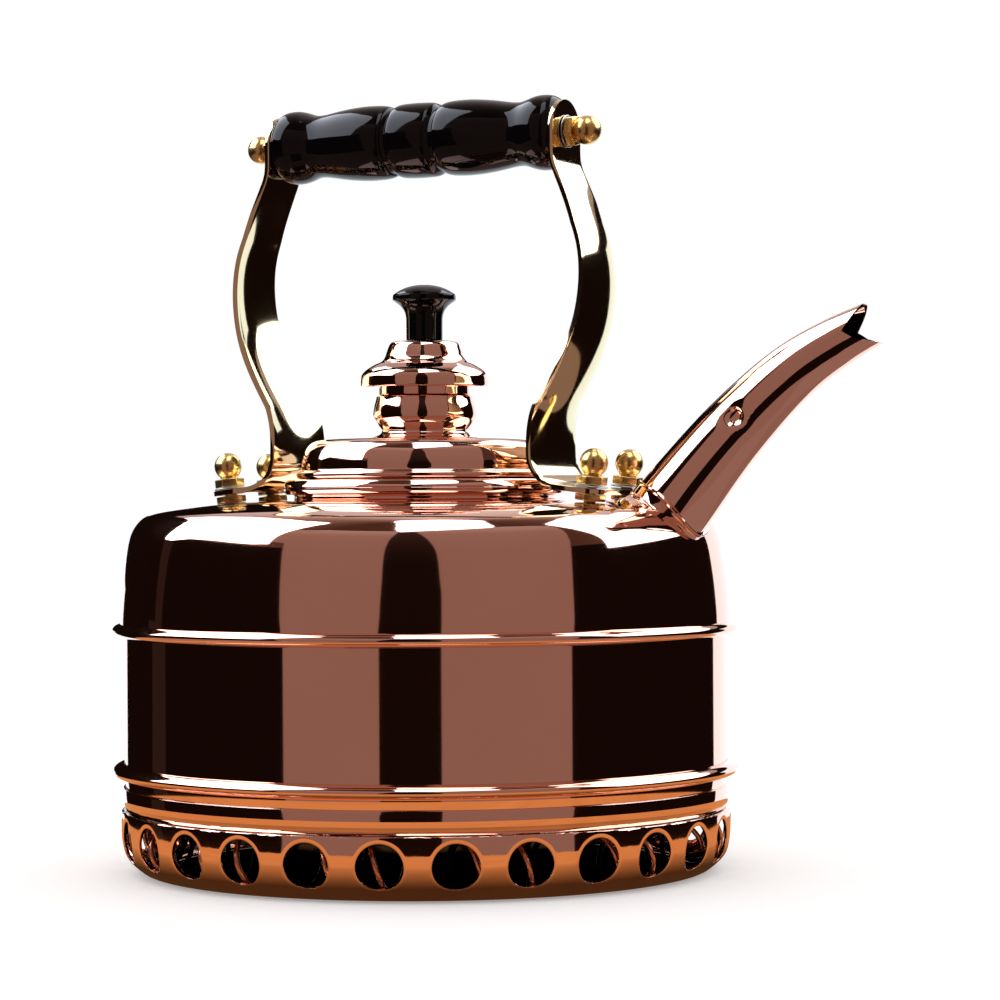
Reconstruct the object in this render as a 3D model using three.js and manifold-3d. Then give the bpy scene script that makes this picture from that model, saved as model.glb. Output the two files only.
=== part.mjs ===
// Copper stovetop kettle with a lift-off lid, a curved spout and a bridge handle.
// Millimetres, +Z up. The spout points along +X. The origin is the centre of the
// footprint of the whole kettle, on the surface that it stands on.

import * as THREE from 'three';
import { mergeVertices } from 'three/addons/utils/BufferGeometryUtils.js';
import Module from 'manifold-3d';

const wasm = await Module();
wasm.setup();

// Sheet metal and clearances
const SHEET = 1;
const SEAM_GAP = 0.3;
const CUT_OVERRUN = 2;

// Body wall
const WALL_RADIUS = 97.7;
const WALL_HEIGHT = 45;
const WALL_LAP = 4;
const BEAD_DEPTH = 3.9;
const BEAD_HEIGHT = 4.8;

// Hoop and plate that close the bottom of the body
const HOOP_HEIGHT = 12.7;
const HOOP_BAND_DEPTH = 0.4;
const HOOP_BAND_HEIGHT = 5.1;
const HOOP_STEP_DEPTH = 0.5;
const HOOP_STEP_HEIGHT = 2;
const PLATE_THICKNESS = 1.5;

// Perforated heat ring
const RING_HEIGHT = 20;
const RING_BULGE = 1.1;
const RING_FOOT_INSET = 8.3;
const RING_FOOT_WIDTH = 4.5;
const RING_FLANGE_WIDTH = 5.8;
const RING_CURVE_HEIGHT = 13;
const HOLE_DIAMETER = 14.6;
const HOLE_HEIGHT = 10.5;
const HOLE_COUNT = 27;
const FIRST_HOLE_DEGREES = -58;

// Heat coil laid round inside the ring
const COIL_CURLS = 39;
const COIL_MEAN_RADIUS = 7.6;
const COIL_WIRE_RADIUS = 1.1;
const COIL_INSET = 0.8;
const COIL_OPEN_CURL_SHARE = 0.4;
const RETAINER_HEIGHT = 7;

// Shoulder and filler collar
const SHOULDER_RISE = 41.5;
const SHOULDER_WIDTH = 49.4;
const SHOULDER_SEAT_WIDTH = 2;
const COLLAR_HEIGHT = 6.6;
const COLLAR_LEDGE = 5.3;
const COLLAR_NECK_DROP = 4;
const COLLAR_NECK_WALL = 1.5;

// Lid
const LID_SEAT_GAP = 0.3;
const LID_FLANGE_LAP = 2.5;
const LID_FLANGE_HEIGHT = 1.9;
const LID_FLANGE_STEP = 1.8;
const LID_DOME_HEIGHT = 12.9;
const SKIRT_CLEARANCE = 0.7;
const SKIRT_DEPTH = 9.6;
const SKIRT_REACH = 3;
const SKIRT_WALL = 0.8;
const NECK_RADIUS = 16.6;
const NECK_HEIGHT = 13.5;
const CROWN_RADIUS = 20.8;
const CROWN_HEIGHT = 17.7;
const CROWN_RECESS_RADIUS = 14.8;
const KNOB_RADIUS = 10.3;
const KNOB_HEIGHT = 18;
const KNOB_STEM_RADIUS = 5.9;
const SCREW_RADIUS = 2;
const SCREW_CLEARANCE = 0.3;
const SCREW_HEAD_RADIUS = 4;
const SCREW_HEAD_HEIGHT = 2;
const SCREW_GRIP_LENGTH = 9;

// Spout
const SPOUT_FOOT_RADIUS = 12.8;
const SPOUT_MOUTH_RADIUS = 6.7;
const SPOUT_WALL = 1;
const SPOUT_REACH = 68.5;
const SPOUT_RISE = 58.2;
const SPOUT_FOOT_INSET = 12.4;
const SPOUT_FOOT_DEGREES = 48.8;
const SPOUT_FOOT_RUN = 33.3;
const SPOUT_FOOT_DROP = 4.9;
const SPOUT_INNER_LENGTH = 13;
const NOTCH_DEPTH = 8.8;
const FERRULE_LENGTH = 7;
const FERRULE_WALL = 1;
const FERRULE_LIP = 0.5;
const SADDLE_WING_REACH = 48.3;
const SADDLE_BACK_REACH = 18.2;
const SADDLE_DEPTH = 17.5;
const SADDLE_THICKNESS = 1;
const WHISTLE_LENGTH = 8;
const WHISTLE_HOLE_RADIUS = 2.5;

// Handle brackets
const STRAP_THICKNESS = 1.6;
const STRAP_HEIGHT = 100.5;
const STRAP_BOW = 15.7;
const STRAP_WIDTH = 33;
const STRAP_BEND_RADIUS = 7;
const EAR_RADIUS = 10.2;
const EAR_FLAT = 6;
const FOOT_WIDTH = 39.5;
const FOOT_TOE = 5.5;
const LEG_LIFT = 16.5;
const LEG_GAP = 0.5;

// Studs, spacers, washers and ball nuts of the bracket feet
const STUD_PITCH = 26.6;
const STUD_TO_SPOUT = 19.8;
const STUD_RADIUS = 2;
const STUD_CLEARANCE = 0.4;
const STUD_TAIL = 6;
const SPACER_HEIGHT = 3;
const SPACER_GAP = 0.45;
const WASHER_RADIUS = 5.2;
const WASHER_THICKNESS = 0.5;
const NUT_RADIUS = 4.9;
const NUT_HEIGHT = 2.7;
const BALL_RADIUS = 4.5;
const BALL_SINK = 0.35;
const INNER_NUT_HEIGHT = 3;

// Wooden grip on its through rod
const GRIP_LENGTH = 102;
const GRIP_RADIUS = 12.2;
const GRIP_SHIFT = -1.2;
const ROD_RADIUS = 2.5;
const END_BALL_RADIUS = 4.4;
const END_NUT_RADIUS = 5.2;

// Facets of the round pieces
const BODY_SIDES = 48;
const RING_SIDES = 54;
const INNER_SIDES = 36;
const COLLAR_SIDES = 36;
const LID_SIDES = 32;
const NECK_SIDES = 18;
const SPOUT_SIDES = 16;
const SPOUT_STEPS = 11;
const SMALL_SIDES = 8;
const HEX_SIDES = 6;
const HOLE_SIDES = 8;
const GRIP_SIDES = 14;
const COIL_STEPS = 8;
const COIL_SIDES = 5;
const BALL_RINGS = 6;
const BEND_STEPS = 4;
const EAR_DEGREES = [80, 60, 40, 20, 0];

// Outlines, as shares of the sizes that they follow
// Shoulder: share of its width in from the wall, share of its rise
const SHOULDER_SHARES = [
  [0.663, 0.981], [0.419, 0.947], [0.184, 0.901], [0.105, 0.85], [0.0514, 0.755], [0.0138, 0.6], [-0.0059, 0.386],
];
// Bead: share of its depth, share of its half height
const BEAD_SHARES = [[0.72, 0.8], [1, 0], [0.72, -0.8]];
// Heat ring: share of its foot inset, share of the height where it starts to curve in
const RING_SHARES = [[0.12, 0.54], [0.47, 0.24]];
// Collar: share of the collar radius, share of the collar height
const COLLAR_SHARES = [
  [0.99, 0], [0.99, 0.3], [0.976, 0.38], [1, 0.65], [0.962, 1],
];
// Lid dome: share of the dome radius, share of the dome height above the flange
const DOME_SHARES = [[1, 0], [0.985, 0.5], [0.967, 0.72], [0.925, 0.92], [0.85, 1]];
// Neck cup: share of its radius, share of its height
const NECK_SHARES = [[0.952, 0], [1, 0.37], [0.985, 0.7], [0.94, 1]];
// Crown: share of its radius, share of its height
const CROWN_SHARES = [
  [1, 0.15], [1, 0.24], [0.957, 0.42], [0.837, 0.535], [0.649, 0.645], [0.563, 0.86], [0.471, 0.97], [0.33, 1],
];
// Knob head: share of its radius, share of its height
const KNOB_SHARES = [
  [0.61, 0.44], [0.71, 0.54], [0.87, 0.65], [1, 0.745], [0.99, 0.82], [0.85, 0.9], [0.5, 0.975],
];
const KNOB_STEM_SHARE = 0.41;
// Grip: share of its half length, share of its radius
const GRIP_SHARES = [
  [1, 0.82], [0.96, 0.93], [0.88, 0.985], [0.8, 0.92], [0.735, 0.84], [0.66, 0.855], [0.52, 0.945],
  [0.36, 1], [0.235, 0.975], [0.185, 0.85], [0.135, 0.95], [0, 1],
];
// Spout centreline past its straight foot: share of its reach, share of its rise
const SPOUT_SHARES = [[0.61, 0.747], [0.814, 0.895], [1, 1]];
// Spout taper: share of the way from the foot to the mouth
const TAPER_SHARES = [[0, 0], [0.4, 0.36], [0.7, 0.66], [0.86, 0.84], [1, 1]];
const WHISTLE_PLACE_SHARE = 0.5;
const BLANK_END_SHARE = 0.5;
// Saddle outline seen from above: share of the wing angle, then share of the way from the
// spout's foot back to the saddle's rear edge where it is below 0, or out to the wall
const SADDLE_SHARES = [
  [0, -1], [0.203, -0.92], [0.392, -0.588], [0.547, -0.169], [0.766, 0.322], [1, 0.74],
  [0.835, 0.763], [0.675, 0.756], [0.547, 0.803], [0.45, 0.874], [0.36, 1.12], [0, 1.15],
];
// Neck of a ball nut: share of the ball's radius
const BALL_NECK_SHARE = 0.66;
// Strap: share of its height above the leg, share of its bow out from the straight line
// between leg and ear, share of its width
const STRAP_SHARES = [
  [0.91, 0.046, 0.62], [0.846, 0.224, 0.63], [0.782, 0.454, 0.65], [0.716, 0.667, 0.67], [0.641, 0.866, 0.7],
  [0.557, 0.981, 0.735], [0.464, 1, 0.775], [0.338, 0.868, 0.84], [0.264, 0.691, 0.885], [0.188, 0.454, 0.92],
  [0.112, 0.204, 0.97], [0.056, 0.078, 0.985], [0, 0, 1],
];
// Toe of the foot plate: share of the toe's length, share of the foot's width
const TOE_SHARES = [[-1.4, 0.98], [-0.9, 1], [0.4, 1], [0.8, 0.9], [1, 0.72]];

// Heights and radii that follow from the sizes above
const PLATE_BOTTOM = RING_HEIGHT + SEAM_GAP;
const LOWER_SEAM = PLATE_BOTTOM + HOOP_HEIGHT;
const UPPER_SEAM = LOWER_SEAM + WALL_HEIGHT;
const SHOULDER_TOP = UPPER_SEAM + SHOULDER_RISE;
const COLLAR_TOP = SHOULDER_TOP + COLLAR_HEIGHT;
const WALL_INNER_RADIUS = WALL_RADIUS - SHEET;
const COLLAR_RADIUS = WALL_RADIUS - SHOULDER_WIDTH - SHOULDER_SEAT_WIDTH;
const COLLAR_NECK_RADIUS = COLLAR_RADIUS - COLLAR_LEDGE;
const SPOUT_FOOT_DISTANCE = WALL_RADIUS - SPOUT_FOOT_INSET;
const STUD_DISTANCE = SPOUT_FOOT_DISTANCE - STUD_TO_SPOUT;
const LAP_RADIUS = WALL_RADIUS + SEAM_GAP + SHEET;
const RING_RADIUS = WALL_RADIUS + RING_BULGE;
const FOOT_RADIUS = RING_RADIUS - RING_FOOT_INSET;
const COIL_RADIUS = FOOT_RADIUS - RING_FOOT_WIDTH / 2 - COIL_INSET;
const COIL_HEIGHT = SHEET + SEAM_GAP + COIL_WIRE_RADIUS + COIL_MEAN_RADIUS;
const NECK_BORE_RADIUS = COLLAR_NECK_RADIUS - COLLAR_NECK_WALL;
const LID_FLANGE_RADIUS = NECK_BORE_RADIUS + LID_FLANGE_LAP;
const LID_DOME_RADIUS = LID_FLANGE_RADIUS - LID_FLANGE_STEP;
const LID_BOTTOM = COLLAR_TOP + LID_SEAT_GAP;
const DOME_BOTTOM = LID_BOTTOM + LID_FLANGE_HEIGHT;
const DOME_TOP = LID_BOTTOM + LID_DOME_HEIGHT;
const SKIRT_RADIUS = NECK_BORE_RADIUS - SKIRT_CLEARANCE;
const NECK_BOTTOM = DOME_TOP + SEAM_GAP;
const NECK_TOP = NECK_BOTTOM + NECK_HEIGHT;
const CROWN_BOTTOM = NECK_TOP + SEAM_GAP;
const CROWN_TOP = CROWN_BOTTOM + CROWN_HEIGHT;
const KNOB_BOTTOM = CROWN_TOP + SEAM_GAP;
const SCREW_HOLE_RADIUS = SCREW_RADIUS + SCREW_CLEARANCE;
const PLATE_LIFT = SPACER_GAP + SPACER_HEIGHT + SEAM_GAP;
const WASHER_LIFT = PLATE_LIFT + STRAP_THICKNESS + SEAM_GAP;
const NUT_LIFT = WASHER_LIFT + WASHER_THICKNESS + SEAM_GAP;
const EAR_OFFSET = GRIP_LENGTH / 2 + SEAM_GAP + STRAP_THICKNESS / 2;

// Materials
function metal(name, color, roughness) {
  return new THREE.MeshStandardMaterial({ name, color, roughness, metalness: 1 });
}

const copper = () => metal('copper', 0xd98b6c, 0.08);
const brass = () => metal('brass', 0xd6ad58, 0.12);
const steel = () => metal('steel', 0xa9acb0, 0.3);

function lacquer() {
  return new THREE.MeshStandardMaterial({ name: 'lacquer', color: 0x0c0a0b, roughness: 0.1, metalness: 0 });
}

// Solids
function weld(geometry) {
  const bare = geometry.clone();
  bare.deleteAttribute('normal');
  bare.deleteAttribute('uv');
  const merged = mergeVertices(bare);
  const index = merged.index.array;
  const kept = [];
  for (let i = 0; i < index.length; i += 3) {
    const [a, b, c] = [index[i], index[i + 1], index[i + 2]];
    if (a !== b && b !== c && c !== a) kept.push(a, b, c);
  }
  if (signedVolume(merged.attributes.position, kept) < 0) kept.reverse();
  merged.setIndex(kept);
  return merged;
}

function signedVolume(position, index) {
  const [a, b, c] = [new THREE.Vector3(), new THREE.Vector3(), new THREE.Vector3()];
  let volume = 0;
  for (let i = 0; i < index.length; i += 3) {
    a.fromBufferAttribute(position, index[i]);
    b.fromBufferAttribute(position, index[i + 1]);
    c.fromBufferAttribute(position, index[i + 2]);
    volume += a.dot(b.cross(c));
  }
  return volume;
}

function solid(geometry) {
  const welded = weld(geometry);
  const vertProperties = new Float32Array(welded.attributes.position.array);
  const triVerts = new Uint32Array(welded.index.array);
  return new wasm.Manifold(new wasm.Mesh({ numProp: 3, vertProperties, triVerts }));
}

function surface(manifold) {
  const mesh = manifold.getMesh();
  const geometry = new THREE.BufferGeometry();
  geometry.setAttribute('position', new THREE.BufferAttribute(mesh.vertProperties, 3));
  geometry.setIndex(new THREE.BufferAttribute(mesh.triVerts, 1));
  return geometry;
}

function cut(geometry, cutters) {
  let result = solid(geometry);
  for (const cutter of cutters) result = result.subtract(solid(cutter));
  return surface(result);
}

function node(name, geometry, material) {
  const mesh = new THREE.Mesh(weld(geometry), material);
  mesh.name = name;
  mesh.geometry.computeVertexNormals();
  return mesh;
}

// A profile of [radius, height] pairs turned about Z
function turned(profile, sides, startAngle = 0) {
  const points = profile.map(([radius, height]) => new THREE.Vector2(radius, height));
  const geometry = new THREE.LatheGeometry(points, sides, startAngle);
  geometry.rotateX(Math.PI / 2);
  return geometry;
}

function closed(profile) {
  return [...profile, profile[0]];
}

function ring(innerRadius, outerRadius, bottom, top, sides) {
  const profile = [[innerRadius, bottom], [outerRadius, bottom], [outerRadius, top], [innerRadius, top]];
  return turned(closed(profile), sides);
}

function rod(radius, bottom, top, sides) {
  const geometry = new THREE.CylinderGeometry(radius, radius, top - bottom, sides);
  geometry.rotateX(Math.PI / 2);
  geometry.translate(0, 0, (bottom + top) / 2);
  return geometry;
}

function rodAlongX(radius, start, end, sides) {
  const geometry = rod(radius, start, end, sides);
  geometry.rotateY(Math.PI / 2);
  return geometry;
}

// The line at a distance to the left of an open outline, walking from its first point
function offsetLine(points, distance) {
  return points.map(([x, y], i) => {
    const before = points[Math.max(i - 1, 0)];
    const after = points[Math.min(i + 1, points.length - 1)];
    const first = new THREE.Vector2(x - before[0], y - before[1]).normalize();
    const second = new THREE.Vector2(after[0] - x, after[1] - y).normalize();
    const along = first.clone().add(second).normalize();
    const lean = Math.max(along.dot(first.length() ? first : second), 0.5);
    return [x - along.y * distance / lean, y + along.x * distance / lean];
  });
}

// Body shell
function shoulderLine() {
  const line = SHOULDER_SHARES.map(([inset, h]) => [
    WALL_RADIUS - inset * SHOULDER_WIDTH, UPPER_SEAM + h * SHOULDER_RISE,
  ]);
  return [[COLLAR_RADIUS + SHOULDER_SEAT_WIDTH, SHOULDER_TOP], ...line];
}

function shoulderHeight(radius) {
  const line = shoulderLine();
  const i = Math.max(line.findIndex(([r]) => r > radius), 1);
  const [inner, outer] = [line[i - 1], line[i]];
  return THREE.MathUtils.mapLinear(radius, inner[0], outer[0], inner[1], outer[1]);
}

function shoulderShell() {
  const outer = shoulderLine();
  const inner = offsetLine(outer, -SHEET).filter((_, i) => i % 2 === 1);
  const opening = COLLAR_NECK_RADIUS + SEAM_GAP;
  const edge = UPPER_SEAM - SEAM_GAP;
  const lapTop = UPPER_SEAM + WALL_LAP + SEAM_GAP;
  const profile = [
    [opening, SHOULDER_TOP], ...outer, [LAP_RADIUS, lapTop], [LAP_RADIUS, edge],
    [LAP_RADIUS - SHEET, edge], [LAP_RADIUS - SHEET, lapTop], ...inner.reverse(), [opening, SHOULDER_TOP - SHEET],
  ];
  const shell = turned(closed(profile), BODY_SIDES);
  const studHoles = studPlaces().map((place) => inPlace(rod(
    STUD_RADIUS + STUD_CLEARANCE, -STUD_TAIL, STUD_TAIL, SMALL_SIDES), place));
  return cut(shell, [spoutBlank(SEAM_GAP), ...studHoles]);
}

function wallBand() {
  return ring(WALL_INNER_RADIUS, WALL_RADIUS, LOWER_SEAM, UPPER_SEAM + WALL_LAP, BODY_SIDES);
}

function bead(height, upperRadius) {
  const lowerRadius = WALL_RADIUS + SEAM_GAP;
  const half = BEAD_HEIGHT / 2;
  const tip = WALL_RADIUS + BEAD_DEPTH;
  const arc = BEAD_SHARES.map(([d, h]) => {
    const root = h > 0 ? upperRadius : lowerRadius;
    return [root + d * (tip - root), height + h * half];
  });
  const step = upperRadius > lowerRadius ? height - 2 * SEAM_GAP : height;
  return turned(closed([
    [upperRadius, height + half], ...arc, [lowerRadius, height - half], [lowerRadius, step], [upperRadius, step],
  ]), BODY_SIDES);
}

function plainBead(height) {
  const radius = WALL_RADIUS + SEAM_GAP;
  const half = BEAD_HEIGHT / 2;
  const depth = BEAD_DEPTH - SEAM_GAP;
  const arc = BEAD_SHARES.map(([d, h]) => [radius + d * depth, height + h * half]);
  return turned(closed([[radius, height + half], ...arc, [radius, height - half]]), BODY_SIDES);
}

// Hoop and plate under the wall
function baseHoop() {
  const bandRadius = WALL_RADIUS + HOOP_BAND_DEPTH;
  const stepRadius = WALL_RADIUS - HOOP_STEP_DEPTH;
  const bandBottom = PLATE_BOTTOM + HOOP_STEP_HEIGHT;
  const bandTop = bandBottom + HOOP_BAND_HEIGHT;
  return turned(closed([
    [WALL_INNER_RADIUS, PLATE_BOTTOM], [stepRadius, PLATE_BOTTOM], [stepRadius, bandBottom],
    [bandRadius, bandBottom], [bandRadius, bandTop], [WALL_RADIUS, bandTop + HOOP_BAND_DEPTH],
    [WALL_RADIUS, LOWER_SEAM], [WALL_INNER_RADIUS, LOWER_SEAM],
  ]), BODY_SIDES);
}

function basePlate() {
  return rod(WALL_INNER_RADIUS - SEAM_GAP, PLATE_BOTTOM, PLATE_BOTTOM + PLATE_THICKNESS, BODY_SIDES);
}

// Heat ring with its holes, the coil inside it and the hoop that keeps the coil in
function heatRing() {
  const curve = RING_SHARES.map(([inset, h]) => [RING_RADIUS - inset * RING_FOOT_INSET, h * RING_CURVE_HEIGHT]);
  const outer = [[RING_RADIUS, RING_HEIGHT], [RING_RADIUS, RING_CURVE_HEIGHT], ...curve, [FOOT_RADIUS, 0]];
  const toe = FOOT_RADIUS - RING_FOOT_WIDTH;
  const inner = offsetLine(outer, -SHEET);
  const heel = [FOOT_RADIUS - SHEET / 2, SHEET];
  const profile = [
    [RING_RADIUS - RING_FLANGE_WIDTH, RING_HEIGHT], ...outer, [toe, 0], [toe, SHEET], heel,
    ...inner.slice(2, -1).reverse(), [RING_RADIUS - SHEET, RING_HEIGHT - SHEET],
    [RING_RADIUS - RING_FLANGE_WIDTH, RING_HEIGHT - SHEET],
  ];
  const facet = 2 * Math.PI / RING_SIDES;
  const firstHole = THREE.MathUtils.degToRad(FIRST_HOLE_DEGREES);
  const wall = turned(closed(profile), RING_SIDES);
  wall.rotateZ(firstHole + facet / 2);
  const holes = [];
  for (let i = 0; i < HOLE_COUNT; i += 1) {
    const hole = rodAlongX(HOLE_DIAMETER / 2, FOOT_RADIUS - RING_FOOT_WIDTH, RING_RADIUS + CUT_OVERRUN, HOLE_SIDES);
    hole.translate(0, 0, HOLE_HEIGHT);
    hole.rotateZ(firstHole + i * 2 * Math.PI / HOLE_COUNT);
    holes.push(hole);
  }
  return cut(wall, holes);
}

function coilPoint(curl) {
  const round = curl * 2 * Math.PI / COIL_CURLS;
  const about = curl * 2 * Math.PI;
  const outward = new THREE.Vector3(Math.cos(round), Math.sin(round), 0);
  const normal = outward.clone().multiplyScalar(Math.cos(about)).setZ(Math.sin(about));
  const point = outward.multiplyScalar(COIL_RADIUS).addScaledVector(normal, COIL_MEAN_RADIUS);
  point.z += COIL_HEIGHT;
  return { point, normal };
}

function coilFrames() {
  const curls = COIL_CURLS - COIL_OPEN_CURL_SHARE;
  const steps = Math.round(curls * COIL_STEPS);
  const frames = [];
  for (let i = 0; i <= steps; i += 1) {
    const { point, normal } = coilPoint(i / COIL_STEPS);
    const ahead = coilPoint((i + 1) / COIL_STEPS).point;
    const behind = coilPoint((i - 1) / COIL_STEPS).point;
    const along = ahead.sub(behind).normalize();
    const across = new THREE.Vector3().crossVectors(along, normal).normalize();
    frames.push({ point, normal, across });
  }
  return frames;
}

function coilLeastGap(frames) {
  let least = Infinity;
  for (let i = 0; i < frames.length; i += 1) {
    for (let j = i + COIL_STEPS / 2; j < frames.length; j += 1) {
      least = Math.min(least, frames[i].point.distanceTo(frames[j].point));
    }
  }
  return least - 2 * COIL_WIRE_RADIUS;
}

function heatCoil() {
  const frames = coilFrames();
  console.log('least gap of the heat coil to itself', coilLeastGap(frames).toFixed(2));
  const rings = frames.map(({ point, normal, across }) => {
    const sides = [];
    for (let k = 0; k < COIL_SIDES; k += 1) {
      const turn = k * 2 * Math.PI / COIL_SIDES;
      const corner = point.clone().addScaledVector(normal, Math.cos(turn) * COIL_WIRE_RADIUS);
      sides.push(corner.addScaledVector(across, Math.sin(turn) * COIL_WIRE_RADIUS));
    }
    return sides;
  });
  return skin(rings);
}

// A closed skin through rings of corners, with a flat end on the first and the last ring
function skin(rings) {
  const sides = rings[0].length;
  const index = [];
  for (let i = 0; i + 1 < rings.length; i += 1) {
    for (let k = 0; k < sides; k += 1) {
      const next = (k + 1) % sides;
      const [a, b] = [i * sides + k, i * sides + next];
      index.push(a, b, b + sides, a, b + sides, a + sides);
    }
  }
  const last = (rings.length - 1) * sides;
  for (let k = 1; k + 1 < sides; k += 1) {
    index.push(0, k + 1, k, last, last + k, last + k + 1);
  }
  const geometry = new THREE.BufferGeometry().setFromPoints(rings.flat());
  geometry.setIndex(index);
  return geometry;
}

function coilRetainer() {
  const outer = COIL_RADIUS - COIL_MEAN_RADIUS - COIL_WIRE_RADIUS - SEAM_GAP;
  return ring(outer - SHEET, outer, RING_HEIGHT - RETAINER_HEIGHT, RING_HEIGHT, INNER_SIDES);
}

// Collar round the filler opening, with the neck that guides the lid
function fillerCollar() {
  const outer = COLLAR_SHARES.map(([r, h]) => [r * COLLAR_RADIUS, SHOULDER_TOP + h * COLLAR_HEIGHT]);
  const neckEnd = SHOULDER_TOP - COLLAR_NECK_DROP;
  return turned(closed([
    [NECK_BORE_RADIUS, neckEnd], [COLLAR_NECK_RADIUS, neckEnd], [COLLAR_NECK_RADIUS, SHOULDER_TOP],
    ...outer, [NECK_BORE_RADIUS, COLLAR_TOP],
  ]), COLLAR_SIDES);
}

// Spout centreline in the XZ plane, straight inside the body and a little way out of it
function spoutFoot() {
  return new THREE.Vector3(SPOUT_FOOT_DISTANCE, 0, SHOULDER_TOP - SPOUT_FOOT_DROP);
}

function spoutCurve() {
  const foot = spoutFoot();
  const slope = THREE.MathUtils.degToRad(SPOUT_FOOT_DEGREES);
  const outward = new THREE.Vector3(Math.cos(slope), 0, Math.sin(slope));
  const place = ([x, z]) => foot.clone().add(new THREE.Vector3(x * SPOUT_REACH, 0, z * SPOUT_RISE));
  const inside = foot.clone().addScaledVector(outward, -SPOUT_INNER_LENGTH);
  const outside = foot.clone().addScaledVector(outward, SPOUT_FOOT_RUN);
  return new THREE.CatmullRomCurve3([inside, foot, outside, ...SPOUT_SHARES.map(place)], false, 'centripetal');
}

function spoutRadius(share) {
  const i = Math.max(TAPER_SHARES.findIndex(([s]) => s >= share), 1);
  const [from, to] = [TAPER_SHARES[i - 1], TAPER_SHARES[i]];
  const taper = THREE.MathUtils.mapLinear(share, from[0], to[0], from[1], to[1]);
  return THREE.MathUtils.lerp(SPOUT_FOOT_RADIUS, SPOUT_MOUTH_RADIUS, Math.max(taper, 0));
}

// A turned tube of [radius, distance] pairs bent along the spout's centreline
function bent(geometry) {
  const curve = spoutCurve();
  const length = curve.getLength();
  const position = geometry.attributes.position;
  const across = new THREE.Vector3(0, 1, 0);
  for (let i = 0; i < position.count; i += 1) {
    const share = position.getZ(i) / length;
    const centre = curve.getPointAt(THREE.MathUtils.clamp(share, 0, 1));
    const along = curve.getTangentAt(THREE.MathUtils.clamp(share, 0, 1));
    const up = new THREE.Vector3().crossVectors(along, across).normalize();
    centre.addScaledVector(up, position.getX(i)).addScaledVector(across, position.getY(i));
    position.setXYZ(i, centre.x, centre.y, centre.z);
  }
  return geometry;
}

function taperLine(extra, endShare) {
  const length = spoutCurve().getLength();
  const span = length - SPOUT_INNER_LENGTH;
  const line = [];
  for (let i = 0; i / SPOUT_STEPS <= endShare; i += 1) {
    const distance = (i / SPOUT_STEPS) * length;
    line.push([spoutRadius(Math.max(distance - SPOUT_INNER_LENGTH, 0) / span) + extra, distance]);
  }
  return line;
}

function spoutBlank(extra) {
  const line = taperLine(extra, BLANK_END_SHARE);
  const [first, last] = [line[0], line[line.length - 1]];
  return bent(turned([[0, first[1]], ...line, [0, last[1]]], SPOUT_SIDES));
}

function spoutTube() {
  const outer = taperLine(0, 1);
  const inner = taperLine(-SPOUT_WALL, 1).reverse();
  const tube = bent(turned(closed([...outer, ...inner]), SPOUT_SIDES));
  return cut(tube, [mouthNotch()]);
}

// V-shaped notch through both sides of the mouth
function mouthNotch() {
  const curve = spoutCurve();
  const slope = SPOUT_MOUTH_RADIUS / NOTCH_DEPTH;
  const rise = slope * (NOTCH_DEPTH + CUT_OVERRUN);
  const wedge = new THREE.Shape([
    new THREE.Vector2(-NOTCH_DEPTH, 0), new THREE.Vector2(CUT_OVERRUN, -rise), new THREE.Vector2(CUT_OVERRUN, rise),
  ]);
  const width = 2 * (SPOUT_MOUTH_RADIUS + CUT_OVERRUN);
  const geometry = new THREE.ExtrudeGeometry(wedge, { depth: width, bevelEnabled: false });
  geometry.translate(0, 0, -width / 2);
  geometry.rotateX(Math.PI / 2);
  const along = curve.getTangentAt(1);
  geometry.rotateY(-Math.atan2(along.z, along.x));
  const tip = curve.getPointAt(1);
  geometry.translate(tip.x, tip.y, tip.z);
  return geometry;
}

// Ferrule where the spout leaves the body
function spoutFerrule() {
  const start = SPOUT_INNER_LENGTH - FERRULE_LENGTH / 2;
  const bore = SPOUT_FOOT_RADIUS + SEAM_GAP;
  const outer = bore + FERRULE_WALL;
  const lip = outer + FERRULE_LIP;
  const end = start + FERRULE_LENGTH;
  const profile = [
    [bore, start], [lip, start], [outer, end - 2 * FERRULE_LIP], [lip, end - FERRULE_LIP], [outer, end], [bore, end],
  ];
  const band = bent(turned(closed(profile), SPOUT_SIDES));
  return cut(band, [bodyBlank(SEAM_GAP)]);
}

// The body's outside as one solid, grown by an extra
function bodyBlank(extra) {
  const line = offsetLine([[0, SHOULDER_TOP], ...shoulderLine(), [LAP_RADIUS, LOWER_SEAM]], extra);
  const bottom = line[line.length - 1];
  return turned([[0, line[0][1]], ...line.slice(1), [0, bottom[1]]], BODY_SIDES);
}

// Saddle: a leaf-shaped plate that follows the shoulder round the foot of the spout
function saddleOutline() {
  const wing = SADDLE_WING_REACH / WALL_RADIUS;
  const nearSide = SADDLE_SHARES.map(([turn, share]) => {
    const reach = share < 0 ? SADDLE_BACK_REACH : WALL_RADIUS - SPOUT_FOOT_DISTANCE;
    const radius = SPOUT_FOOT_DISTANCE + share * reach;
    return new THREE.Vector2(radius * Math.cos(turn * wing), radius * Math.sin(turn * wing));
  });
  const farSide = nearSide.slice(1, -1).reverse().map(({ x, y }) => new THREE.Vector2(x, -y));
  return [...nearSide, ...farSide];
}

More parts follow.
